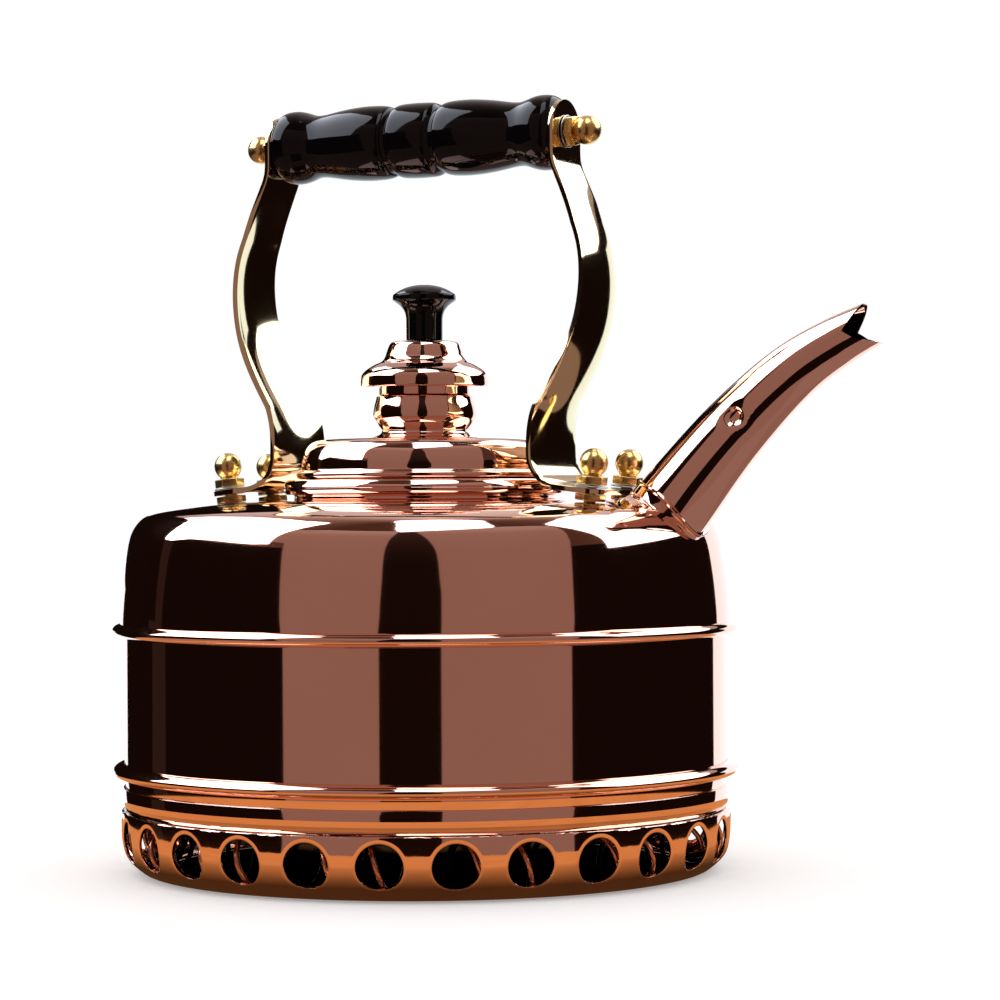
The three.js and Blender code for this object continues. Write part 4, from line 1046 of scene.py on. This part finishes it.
def leaf_outline():
    """The leaf's edge seen from above, measured from the body's axis."""
    points = []
    for turn, share in SADDLE_SHARES:
        reach = SADDLE_BACK_REACH if share < 0 else WALL_RADIUS - SADDLE_FOOT
        radius = SADDLE_FOOT + share * reach
        points.append((radius * math.cos(turn * SADDLE_WING), radius * math.sin(turn * SADDLE_WING)))
    upper, lower = flowing(points[:6], 40), flowing(points[5:], 40)
    half = upper + lower[1:]
    return half + [(x, -y) for x, y in reversed(half[1:-1])]


def leaf_reach(outline, heading):
    """Distance from the foot of the spout to the leaf's edge, in one direction seen from above."""
    best = 0
    step = Vector((math.cos(heading), math.sin(heading)))
    for (ax, ay), (bx, by) in zip(outline, outline[1:] + outline[:1]):
        a, b = Vector((ax - SADDLE_FOOT, ay)), Vector((bx - SADDLE_FOOT, by))
        edge = b - a
        cross = step.x * edge.y - step.y * edge.x
        if abs(cross) > 1e-12:
            reach = (a.x * edge.y - a.y * edge.x) / cross
            share = (a.x * step.y - a.y * step.x) / cross
            if reach > 0 and -1e-6 <= share <= 1 + 1e-6:
                best = max(best, reach)
    return best


def on_shoulder(x, y):
    """The place over the shoulder at x, y, drawn back to where the shoulder turns upright."""
    out = Vector((x - AXIS.x, y))
    out *= min(SADDLE_LIMIT / out.length, 1)
    return Vector((AXIS.x + out.x, out.y, shoulder_height(out.length) + SADDLE_GAP + SADDLE_SHEET))


def saddle_loops():
    """The loop under the ferrule, the leaf's edge, and the spout's direction between them."""
    foot = Vector((AXIS.x + SADDLE_FOOT, 0))
    outline = leaf_outline()
    inner, outer = [], []
    for i in range(SADDLE_SIDES):
        around = 2 * math.pi * i / SADDLE_SIDES
        place, along = centre_at(FERRULE_BOTTOM + side_lift(SADDLE_RIM_RADIUS * math.sin(around)))
        up = along.cross(ACROSS).normalized()
        rim = place + SADDLE_RIM_RADIUS * (up * math.cos(around) + ACROSS * math.sin(around))
        if rim.z < on_shoulder(rim.x, rim.y).z:
            rim = on_shoulder(rim.x, rim.y)
        inner.append(rim)
        heading = math.atan2(rim.y, rim.x - foot.x)
        reach = max(leaf_reach(outline, heading), (rim.xy - foot).length + 0.4 * MM)
        outer.append(on_shoulder(foot.x + reach * math.cos(heading), reach * math.sin(heading)))
    return inner, outer, along


def saddle_piece():
    """A circle laid on the leaf's outline, and extruded in rows up a hollow curve to the ferrule."""
    inner, outer, along = saddle_loops()
    piece = grown_circle("spout_saddle_leaf", SADDLE_SIDES, 1, (2,) * SADDLE_ROWS)
    for vertex in piece.data.vertices:
        row = round(math.log2(vertex.co.length))
        column = round(math.atan2(vertex.co.y, vertex.co.x) / (2 * math.pi) * SADDLE_SIDES) % SADDLE_SIDES
        vertex.co = hollow(outer[column], inner[column], along, row / SADDLE_ROWS)
    return piece


def hollow(edge, rim, along, t):
    """A point of the hollow curve that leaves the shoulder flat and ends along the ferrule."""
    flat = Vector((rim.x - edge.x, rim.y - edge.y, 0))
    start = 5 * (on_shoulder(edge.x + flat.x * 0.2, edge.y + flat.y * 0.2) - edge)
    end = along * (rim - edge).length * 0.35
    place = hermite(edge, start, rim, end, t)
    floor = on_shoulder(place.x, place.y)
    return floor if place.z < floor.z else place


leaf = saddle_piece()
clean(leaf)
apply_modifier(leaf, "SOLIDIFY", thickness=SADDLE_SHEET, offset=-1)
smooth(leaf, 40)
dress(leaf, spout_copper, "copper", "kettle", "spout_saddle")

# %% [markdown]
# ## The handle's arms
# Each arm is one strip of brass, bent up from a wide foot, leaning out and narrowing, and
# ending in a round ear. An edge as wide as the strip is extruded along the arm's side view,
# and scaled at every step to the width it has there. Solidify gives the thickness.

# %% Arm line
STRAP_THICKNESS = 1.6 * MM
STRAP_BOW = 15.7 * MM
STRAP_WIDTH = 33 * MM
EAR_RADIUS = 10.2 * MM
EAR_FLAT = 6 * MM
FOOT_WIDTH = 39.5 * MM
FOOT_CORNER = 6.5 * MM
FOOT_DROP = 0.9 * MM
BEND_RADIUS = 11 * MM
BEND_STEPS = 12
FOOT_SLOPE = math.radians(6.68)
FOOT_STEPS = (0.1, 0.2, 0.3, 0.5, 0.6, 0.68, 0.76, 0.83, 0.89, 0.94, 0.97, 0.99, 1)
WASHER_TO_PLATE = 0.55 * MM
LEG_HEIGHT = 100.5 * MM
STRAP_SHARES = [
    (0.91, 0.046, 0.62), (0.846, 0.224, 0.63), (0.782, 0.454, 0.65), (0.716, 0.667, 0.67),
    (0.641, 0.866, 0.7), (0.557, 0.981, 0.735), (0.464, 1, 0.775), (0.338, 0.868, 0.84),
    (0.264, 0.691, 0.885), (0.188, 0.454, 0.92), (0.112, 0.204, 0.97), (0.056, 0.078, 0.985), (0, 0, 1),
]
grip_low, grip_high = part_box("handle_grip")
GRIP_HEIGHT = (grip_low.z + grip_high.z) / 2
LEG_BOTTOM = GRIP_HEIGHT - LEG_HEIGHT


def ear_stations(ear):
    """The round ear from its top down, as [distance out, height, width]."""
    stations = []
    for turn in range(88, 0, -8):
        angle = math.radians(turn)
        stations.append((ear, GRIP_HEIGHT + EAR_RADIUS * math.sin(angle), 2 * EAR_RADIUS * math.cos(angle)))
    return stations + [(ear, GRIP_HEIGHT - share * EAR_FLAT, 2 * EAR_RADIUS) for share in (0, 0.4, 0.8)]


def bend_stations(leg, plate, stud):
    """The bend from the upright leg to the foot, which slopes as the shoulder does."""
    centre = leg + BEND_RADIUS
    under = plate + (stud - centre) * math.tan(FOOT_SLOPE)
    middle = under + BEND_RADIUS / math.cos(FOOT_SLOPE)
    stations = []
    for i in range(BEND_STEPS + 1):
        share = i / BEND_STEPS
        angle = math.pi + share * (math.pi / 2 - FOOT_SLOPE)
        width = STRAP_WIDTH + (FOOT_WIDTH - STRAP_WIDTH) * max(share - 0.55, 0) / 0.45 * 0.75
        out = centre + BEND_RADIUS * math.cos(angle)
        stations.append((out, middle + BEND_RADIUS * math.sin(angle), width))
    return stations


def foot_stations(start, height, toe):
    """The foot from the bend to the toe: it widens at the heel and has rounded corners."""
    run = toe - STRAP_THICKNESS * 0.1 - start
    stations = []
    for share in FOOT_STEPS:
        left = (1 - share) * run
        trim = FOOT_CORNER - math.sqrt(max(FOOT_CORNER ** 2 - max(FOOT_CORNER - left, 0) ** 2, 0))
        heel = (1 - min(share / 0.2, 1)) * 0.25 * (FOOT_WIDTH - STRAP_WIDTH)
        drop = share * run * math.tan(FOOT_SLOPE)
        stations.append((start + share * run, height - drop, FOOT_WIDTH - 2 * trim - heel))
    return stations


def arm_stations(node):
    """Side view of an arm: [distance out, height, width], from the top of the ear to the toe."""
    low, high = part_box(node)
    front = low.x > AXIS.x
    near, toe = (low.x - AXIS.x, high.x - AXIS.x) if front else (AXIS.x - high.x, AXIS.x - low.x)
    leg = near + STRAP_THICKNESS / 2
    grip_end = grip_high.x - AXIS.x if front else AXIS.x - grip_low.x
    ear = grip_end + 0.3 * MM + STRAP_THICKNESS / 2
    bow = [(leg + (ear - leg) * h + b * STRAP_BOW, LEG_BOTTOM + h * LEG_HEIGHT, w * STRAP_WIDTH)
           for h, b, w in STRAP_SHARES]
    strap = flowing([(ear, GRIP_HEIGHT - EAR_FLAT, 2 * EAR_RADIUS)] + bow, 90)
    stud_low, stud_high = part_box("front_near_washer" if front else "rear_near_washer")
    stud = abs((stud_low.x + stud_high.x) / 2 - AXIS.x)
    plate = (stud_low.z + stud_high.z) / 2 - FOOT_DROP - WASHER_TO_PLATE - STRAP_THICKNESS / 2
    bend = bend_stations(leg, plate, stud)
    foot = foot_stations(bend[-1][0], bend[-1][1], toe)
    return ear_stations(ear) + strap + bend[1:] + foot, 1 if front else -1


# %% Arms
STRAP_CUTS = 11
CROWN_RADIUS = 40 * MM
CROWN_BELOW_GRIP = 14 * MM
CROWN_FADE_UP = 16 * MM
CROWN_FADE_DOWN = 14 * MM


def crown(piece, side):
    """Rounds the strip across its width, proud on the outer side, and flat at the ear and foot."""
    for vertex in piece.data.vertices:
        below_ear = min(max((GRIP_HEIGHT - CROWN_BELOW_GRIP - vertex.co.z) / CROWN_FADE_UP, 0), 1)
        above_foot = min(max((vertex.co.z - LEG_BOTTOM) / CROWN_FADE_DOWN, 0), 1)
        vertex.co.x -= side * below_ear * above_foot * vertex.co.y ** 2 / (2 * CROWN_RADIUS)


def arm(name, node):
    stations, side = arm_stations(node)
    places = [Vector((AXIS.x + side * out, 0, height)) for out, height, _ in stations]
    piece = single_vertex(name, places[0])
    start = stations[0][2]
    bpy.ops.transform.translate(value=(0, -start / 2, 0))
    bpy.ops.mesh.extrude_region_move(TRANSFORM_OT_translate={"value": (0, start, 0)})
    bpy.ops.mesh.select_all(action="SELECT")
    bpy.ops.mesh.subdivide(number_cuts=STRAP_CUTS)
    for i in range(1, len(stations)):
        bpy.ops.mesh.extrude_edges_move(TRANSFORM_OT_translate={"value": places[i] - places[i - 1]})
        growth = stations[i][2] / stations[i - 1][2]
        bpy.ops.transform.resize(value=(1, growth, 1), center_override=places[i])
    bpy.ops.object.mode_set(mode="OBJECT")
    settle(piece)
    clean(piece)
    crown(piece, side)
    apply_modifier(piece, "SOLIDIFY", thickness=STRAP_THICKNESS, offset=0, use_even_offset=True)
    soften_edges(piece, 0.6 * MM, degrees=60, segments=4)
    smooth(piece, 50)
    return dress(piece, arm_brass, "brass", "kettle", node)


arm("front_arm", "front_bracket")
arm("rear_arm", "rear_bracket")

# %% [markdown]
# ## Nuts, washers and studs
# Every foot stands on two hexagonal spacers, and two ball nuts hold it down. A ball nut is
# turned from hexagonal bar, so its hexagon and its ball are one piece. Each kind of fastener
# is modelled once, standing at the origin, and copies are set on the shoulder at its slope.

# %% Fastener patterns
NUT_HEIGHT = 2.7 * MM
BALL_LINE = [(3.15, 2.7), (2.85, 2.95), (2.9, 3.2)]


def hexagon(name, radius, height):
    piece = new_piece(
        name, bpy.ops.mesh.primitive_cylinder_add, vertices=6, radius=radius, depth=height,
        location=(0, 0, height / 2))
    settle(piece)
    soften_edges(piece, 0.28 * MM, degrees=30, segments=3)
    return piece


def joined(name, pieces):
    select_only(*pieces)
    bpy.ops.object.join()
    pieces[0].name = name
    return pieces[0]


def ball_nut(name, hex_radius, ball_radius, sink):
    base = hexagon(name, hex_radius, NUT_HEIGHT)
    middle = NUT_HEIGHT + ball_radius - sink
    start = math.degrees(math.asin(max(min((NUT_HEIGHT + 0.65 * MM - middle) / ball_radius, 1), -1)))
    ball = [(0, NUT_HEIGHT - 0.2 * MM)] + [(r * MM, h * MM) for r, h in BALL_LINE]
    ball += arc((0, middle), ball_radius, start, 84, 40) + [(0, middle + ball_radius * 0.9945)]
    return joined(name, [base, turned("ball", ball, 64, centre=ORIGIN)])


stud_nut = ball_nut("stud_ball_nut", 4.9 * MM, 4.5 * MM, 0.35 * MM)
end_nut = ball_nut("end_ball_nut", 5.2 * MM, 4.6 * MM, 1.1 * MM)
spacer = hexagon("foot_spacer", 4.9 * MM, 3 * MM - FOOT_DROP)
WASHER_LINE = [(2.5, 0), (5.05, 0), (5.2, 0.12), (5.2, 0.38), (5.05, 0.5), (2.5, 0.5), (2.5, 0)]
washer = turned("thin_washer", [(r * MM, h * MM) for r, h in WASHER_LINE], 64, centre=ORIGIN)

# %% Copies set in place
WASHER_LIFT = Matrix.Translation((0, 0, -0.25 * MM))
NUT_LIFT = Matrix.Translation((0, 0, 0.55 * MM))
SPACER_LIFT = Matrix.Translation((0, 0, -4.55 * MM))
END_NUT_TURN = Matrix.Rotation(math.radians(12), 4, "Z")


def copy_of(pattern, name, matrix):
    select_only(pattern)
    bpy.ops.object.duplicate()
    piece = bpy.context.object
    piece.name = name
    piece.matrix_world = matrix
    settle(piece)
    smooth(piece, 30)
    return piece


def middle_of(node):
    low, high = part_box(node)
    return (Vector(low) + Vector(high)) / 2


def fasten(name, place, nut, nut_lift):
    """A washer at a place, and a ball nut over it."""
    ring = copy_of(washer, name + "_washer_ring", place @ WASHER_LIFT)
    dress(ring, washer_steel, "steel", "kettle", name + "_washer")
    ball = copy_of(nut, name + "_nut_ball", place @ nut_lift)
    dress(ball, nut_brass, "brass", "kettle", name + "_ball_nut")


for end, facing in (("front", 1), ("rear", -1)):
    for side in ("near", "far"):
        name = f"{end}_{side}"
        foot = Matrix.Translation(middle_of(name + "_washer") - FOOT_DROP * UP)
        foot = foot @ Matrix.Rotation(facing * FOOT_SLOPE, 4, "Y")
        fasten(name, foot, stud_nut, NUT_LIFT)
        hexagonal = copy_of(spacer, name + "_spacer_hex", foot @ SPACER_LIFT)
        dress(hexagonal, nut_brass, "brass", "kettle", name + "_spacer")

for end, facing in (("front", 1), ("rear", -1)):
    name = f"handle_{end}"
    turn = Matrix.Translation(middle_of(name + "_washer")) @ Matrix.Rotation(facing * math.pi / 2, 4, "Y")
    fasten(name, turn, end_nut, NUT_LIFT @ END_NUT_TURN)

for pattern in (stud_nut, end_nut, spacer, washer):
    bpy.data.objects.remove(pattern, do_unlink=True)

# %% [markdown]
# ## The grip
# The grip is turned wood on a through rod. Beads and hollows along it give the hand a hold,
# and two narrow grooves set off the bead in the middle. Its line is drawn in three parts, so
# that the grooves stay sharp where the wood was cut in.

# %% Turned grip
MIDDLE_BEAD = [(-0.135, 0.945), (-0.115, 0.975), (-0.06, 0.995), (0, 1), (0.06, 0.995), (0.115, 0.975),
               (0.135, 0.945)]
SWELL = [(0.185, 0.86), (0.2, 0.93), (0.235, 0.975), (0.3, 0.997), (0.38, 0.998), (0.47, 0.972),
         (0.56, 0.925), (0.64, 0.87), (0.69, 0.843), (0.735, 0.84), (0.785, 0.885), (0.83, 0.945),
         (0.885, 0.985), (0.935, 0.975), (0.975, 0.915), (0.992, 0.86)]
GROOVE = (0.16, 0.845)
END_FACE = [(1, 0.82), (1, 0.5), (1, 0.25)]


def turned_grip():
    half = (grip_high.x - grip_low.x) / 2
    radius = (grip_high.y - grip_low.y) / 2
    middle = (grip_low.x + grip_high.x) / 2
    right = flowing(SWELL, 70) + END_FACE
    left = [(-a, r) for a, r in reversed(right)]
    line = left + [(-GROOVE[0], GROOVE[1])] + flowing(MIDDLE_BEAD, 24) + [GROOVE] + right
    line = [(r * radius, a * half) for a, r in line]
    centre = Vector((middle, 0, GRIP_HEIGHT))
    return turned("handle_grip_turned", line, 128, centre=centre, axis=ALONG_X)


dress(turned_grip(), lacquer, "black_lacquer", "kettle", "handle_grip")

# %% [markdown]
# ## Parts that stay as they are
# Rods, studs and inner nuts hardly show, and their plain shapes are right. They keep their
# mesh and only get the finish of their metal.

# %% Finishes for the plain parts
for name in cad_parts:
    node = bpy.data.objects.get(name)
    if node is None or node.type != "MESH" or node.hide_render:
        continue
    plain = copper if name == "whistle_cup" else nut_brass
    for slot in node.material_slots:
        slot.material = plain
    if not node.material_slots:
        node.data.materials.append(plain)
    print("kept", name)

# %% [markdown]
# ## The studio
# A mirror shows what stands round it, so most of the work on polished copper is the studio.
# There are large soft boxes on both sides and overhead, dark gaps between them, a white
# backdrop, and a small wooden board under the kettle. All of that is glowing panels on one
# large sphere, which only reflections see, and a round warm card for the board. A panel's
# edges may slant, as the edges of a tilted soft box do in the mirror of the shoulder.

# %% Glowing tones
def glow(name, radiance):
    """A glowing material, with its node tree and the node that glows."""
    material = bpy.data.materials.new(name)
    material.use_nodes = True
    tree = material.node_tree
    tree.nodes.clear()
    light = add_node(tree, "ShaderNodeEmission", Color=(*radiance, 1), Strength=1)
    add_node(tree, "ShaderNodeOutputMaterial", Surface=light.outputs[0])
    return material, tree, light


# Every tone is a list of [place, radiance]. Between two places the glow blends evenly.
DARK = [(0, (0.007, 0.003, 0.002))]
DIM = [(0, (0.024, 0.014, 0.011))]
TABLE = [(0, (0.27, 0.165, 0.14))]
WHITE = [(0, (1.1, 1.2, 1.28))]
LEFT_BOX = [(0, (4.2, 4.4, 5.0))]
OTHER_BOX = [(0, (3.0, 3.2, 3.5))]
GAP = [(0, (0.007, 0.003, 0.002)), (0.5, (0.009, 0.004, 0.003)), (1, (0.04, 0.022, 0.018))]
SCREEN = [
    (0, (0.265, 0.162, 0.138)), (0.45, (0.268, 0.164, 0.14)), (0.8, (0.3, 0.19, 0.165)),
    (1, (0.42, 0.31, 0.3)),
]
ROOM = [
    (-180, (0.75, 0.65, 0.65)), (-165, (0.52, 0.43, 0.42)), (-150, (0.36, 0.27, 0.24)),
    (-125, (0.25, 0.165, 0.14)), (-90, (0.165, 0.095, 0.075)), (-50, (0.068, 0.032, 0.021)),
    (60, (0.068, 0.032, 0.021)), (110, (0.13, 0.07, 0.055)), (135, (0.25, 0.165, 0.14)),
    (150, (0.42, 0.33, 0.31)), (180, (0.75, 0.65, 0.65)),
]
# Each panel is [tone, rows], and a row is [height, left edge, right edge] in degrees. Nought is
# the direction of the camera, and the turn grows towards the right of the picture.
PANELS = [
    (TABLE, [(-90, -180, 180), (-22, -180, 180)]),
    (DARK, [(-70, -30, 7), (-22, -30, 7)]),
    (DARK, [(-22, -180, 180), (20, -180, 180)]),
    (WHITE, [(-60, 139.8, 180), (14, 139.8, 180)]),
    (WHITE, [(-60, -180, -155.2), (4, -180, -155.2)]),
    (DIM, [(-22, -124, -112.2), (14, -121, -112.2)]),
    (LEFT_BOX, [
        (15, -124, -115), (20, -135, -104), (21.5, -140, -62), (30, -161, -62.5), (40, -159, -64.2),
        (50, -151, -67), (58.3, -139, -71), (63.3, -124, -75), (67.5, -107, -80), (69.7, -94, -89),
    ]),
    (DARK, [
        (0, -172, -117), (10, -168, -118.5), (20, -164, -122), (26, -159, -125.5), (31, -152, -131.5),
        (33.5, -144, -139),
    ]),
    (OTHER_BOX, [
        (16.5, 75, 120), (25, 75, 150), (40, 75, 165), (50, 76.5, 156.5), (55, 77.5, 149), (60, 79, 136),
        (62.5, 88, 124), (63.2, 100, 108),
    ]),
    (OTHER_BOX, [
        (51.7, -11, -10.5), (54, -13, -3), (57, -14.5, 10), (60, -15.8, 30), (61.5, -16.3, 42), (65, -18, 48),
        (69, -20, 52), (71.7, -22.5, 57), (76.7, -30, 74), (78, -33, 102), (80, -40, 127), (82, -55, 150),
        (83.4, -80, 180), (84.2, -180, 180), (90, -180, 180),
    ]),
    (GAP, [(-22, -16, 7), (20, -14.3, 5.3), (30, -13.3, 2.8), (40, -12.5, 0.4), (51.7, -11.8, -3)]),
    (SCREEN, [
        (-22, -51.9, -15.7), (0, -52.3, -15.7), (18, -54.6, -14.3), (24.5, -55.5, -13.8), (25, -61.6, -13.7),
        (40, -64.1, -12.5), (50, -66.5, -11.8), (54, -50, -11.8),
    ]),
    (SCREEN, [
        (-22, 6.6, 55.5), (0, 6.8, 56), (10, 7, 56.8), (20, 5.3, 58.7), (30, 2.8, 61), (40, 0.4, 65),
        (50, -2.6, 71.3), (54, -5, 74.5), (57, 10, 76.5), (60, 30, 68), (61.5, 42, 58), (62.5, 48, 50),
    ]),
]
STUDIO_RADIUS = 3.2
STUDIO_CENTRE = AXIS + 0.1 * UP
PANEL_STEP = 2.5
PANEL_SPACING = 0.02
CAMERA_AZIMUTH = -63


# %% Studio panels
def graded_glow(name, stops, axis):
    """A glow that blends through its stops along one direction of the panel's own UV map."""
    material, tree, light = glow(name, stops[0][1])
    if len(stops) > 1:
        place_on_panel = tree.nodes.new("ShaderNodeTexCoord").outputs["UV"]
        parts = add_node(tree, "ShaderNodeSeparateXYZ", Vector=place_on_panel)
        ramp = tree.nodes.new("ShaderNodeValToRGB")
        tree.links.new(parts.outputs[axis], ramp.inputs[0])
        points = ramp.color_ramp.elements
        first, last = stops[0][0], stops[-1][0]
        points[0].position, points[0].color = 0, (*stops[0][1], 1)
        points[1].position, points[1].color = 1, (*stops[-1][1], 1)
        for place, radiance in stops[1:-1]:
            points.new((place - first) / (last - first)).color = (*radiance, 1)
        tree.links.new(ramp.outputs[0], light.inputs["Color"])
    return material


def panel(name, layer, rows, material):
    """A grid laid on the studio's sphere between the two edges that the rows give."""
    heights, starts, ends = zip(*rows)
    low, high = heights[0], heights[-1]
    widest = max(end - start for _, start, end in rows)
    columns = max(round(widest / PANEL_STEP), 2)
    levels = max(round((high - low) / PANEL_STEP * 2), 2)
    card = new_piece(
        name, bpy.ops.mesh.primitive_grid_add, x_subdivisions=columns, y_subdivisions=levels, size=2,
        location=ORIGIN)
    for vertex in card.data.vertices:
        height = low + (high - low) * (vertex.co.y + 1) / 2
        start, end = np.interp(height, heights, starts), np.interp(height, heights, ends)
        turn = math.radians(start + (end - start) * (vertex.co.x + 1) / 2 + CAMERA_AZIMUTH)
        level, rise = math.cos(math.radians(height)), math.sin(math.radians(height))
        away = Vector((level * math.cos(turn), level * math.sin(turn), rise))
        vertex.co = STUDIO_CENTRE + (STUDIO_RADIUS - layer * PANEL_SPACING) * away
    card.data.materials.append(material)
    only_in_reflections(card)


def only_in_reflections(item):
    item.visible_camera = False
    item.visible_diffuse = False
    item.visible_transmission = False
    item.visible_shadow = False


panel("studio_room", 0, [(-90, -180, 180), (90, -180, 180)], graded_glow("studio room", ROOM, 0))
for layer, (tone, rows) in enumerate(PANELS, 1):
    panel(f"studio_panel_{layer}", layer, rows, graded_glow(f"studio panel {layer}", tone, 1))
print("studio panels:", len(PANELS))

# %% Board card and floor
BOARD_RADIUS = 0.22
BOARD_GLOW = ((0.58, 0.24, 0.08), (0.8, 0.37, 0.13))
BOARD_FROM_ABOVE = (0.3, 0.19, 0.168)
BOARD_SLANT = (0.38, 0.6)
BOARD_CLOSE = (0.165, 0.14)
PAINTED_SHADOW_SHARE = 0.868
FLOOR_GLOW = 0.3
BOARD_SHADE = {"From Min": 0.097, "From Max": 0.13, "To Min": 0.1, "To Max": 1}


def board_card():
    """A glowing card seen only in reflections: orange at a low angle and close to the kettle, and plain
    steeply from above, as varnish looks. Next to the kettle its glow fades, a painted shadow.
    """
    card = new_piece(
        "board_card", bpy.ops.mesh.primitive_circle_add, vertices=96, radius=BOARD_RADIUS,
        fill_type="NGON", location=AXIS - 0.2 * MM * UP)
    material, tree, light = glow("warm board", BOARD_GLOW[1])
    place = tree.nodes.new("ShaderNodeTexCoord").outputs["Object"]
    stretch = add_node(tree, "ShaderNodeMapping", Vector=place, Scale=(6, 60, 1))
    wood = mixed_colour(tree, noise(tree, stretch.outputs[0], 1, 4), *BOARD_GLOW)
    length = add_node(tree, "ShaderNodeVectorMath", operation="LENGTH")
    tree.links.new(place, length.inputs[0])
    distance = length.outputs["Value"]
    slant = add_node(tree, "ShaderNodeLayerWeight", Blend=0.5).outputs["Facing"]
    low_angle = stepped(tree, slant, *BOARD_SLANT)
    close = stepped(tree, distance, *BOARD_CLOSE)
    colour = mixed_colour(tree, math_node(tree, "MAXIMUM", low_angle, close), BOARD_FROM_ABOVE, wood)
    tree.links.new(colour, light.inputs["Color"])
    # Painted shadow of the kettle: the card's glow fades close to the kettle.
    shade = add_node(tree, "ShaderNodeMapRange", Value=distance, **BOARD_SHADE)
    tree.links.new(shade.outputs[0], light.inputs["Strength"])
    card.data.materials.append(material)
    only_in_reflections(card)


def painted_shadow_patch():
    """A black disc as painted shadow: the floor under the kettle gets no light, and through the holes it
    looks black.
    """
    patch = new_piece(
        "painted_shadow_patch", bpy.ops.mesh.primitive_circle_add, vertices=96,
        radius=radius_of("heat_ring") * PAINTED_SHADOW_SHARE, fill_type="NGON", location=AXIS)
    material, _, shader = new_material("painted shadow floor", (0.001, 0.001, 0.001), 0, 1)
    shader.inputs["Specular IOR Level"].default_value = 0
    patch.data.materials.append(material)


def floor():
    """A pale floor that takes the kettle's soft shadow and that the mirrors don't show."""
    plane = new_piece(
        "studio_floor", bpy.ops.mesh.primitive_plane_add, size=12, location=AXIS - 0.5 * MM * UP)
    material, tree, shader = new_material("pale floor", (0.82, 0.82, 0.82), 0, 0.9)
    shader.inputs["Specular IOR Level"].default_value = 0
    path = tree.nodes.new("ShaderNodeLightPath")
    shader.inputs["Emission Color"].default_value = (1, 1, 1, 1)
    lift = math_node(tree, "MULTIPLY", path.outputs["Is Camera Ray"], FLOOR_GLOW)
    tree.links.new(lift, shader.inputs["Emission Strength"])
    plane.data.materials.append(material)
    plane.visible_glossy = False


board_card()
painted_shadow_patch()
floor()

# %% Soft light from all round
world = bpy.data.worlds.new("studio")
bpy.context.scene.world = world
world.use_nodes = True
background = world.node_tree.nodes["Background"]
background.inputs["Color"].default_value = (1, 1, 1, 1)
background.inputs["Strength"].default_value = 1
bpy.context.scene.view_settings.view_transform = "Standard"
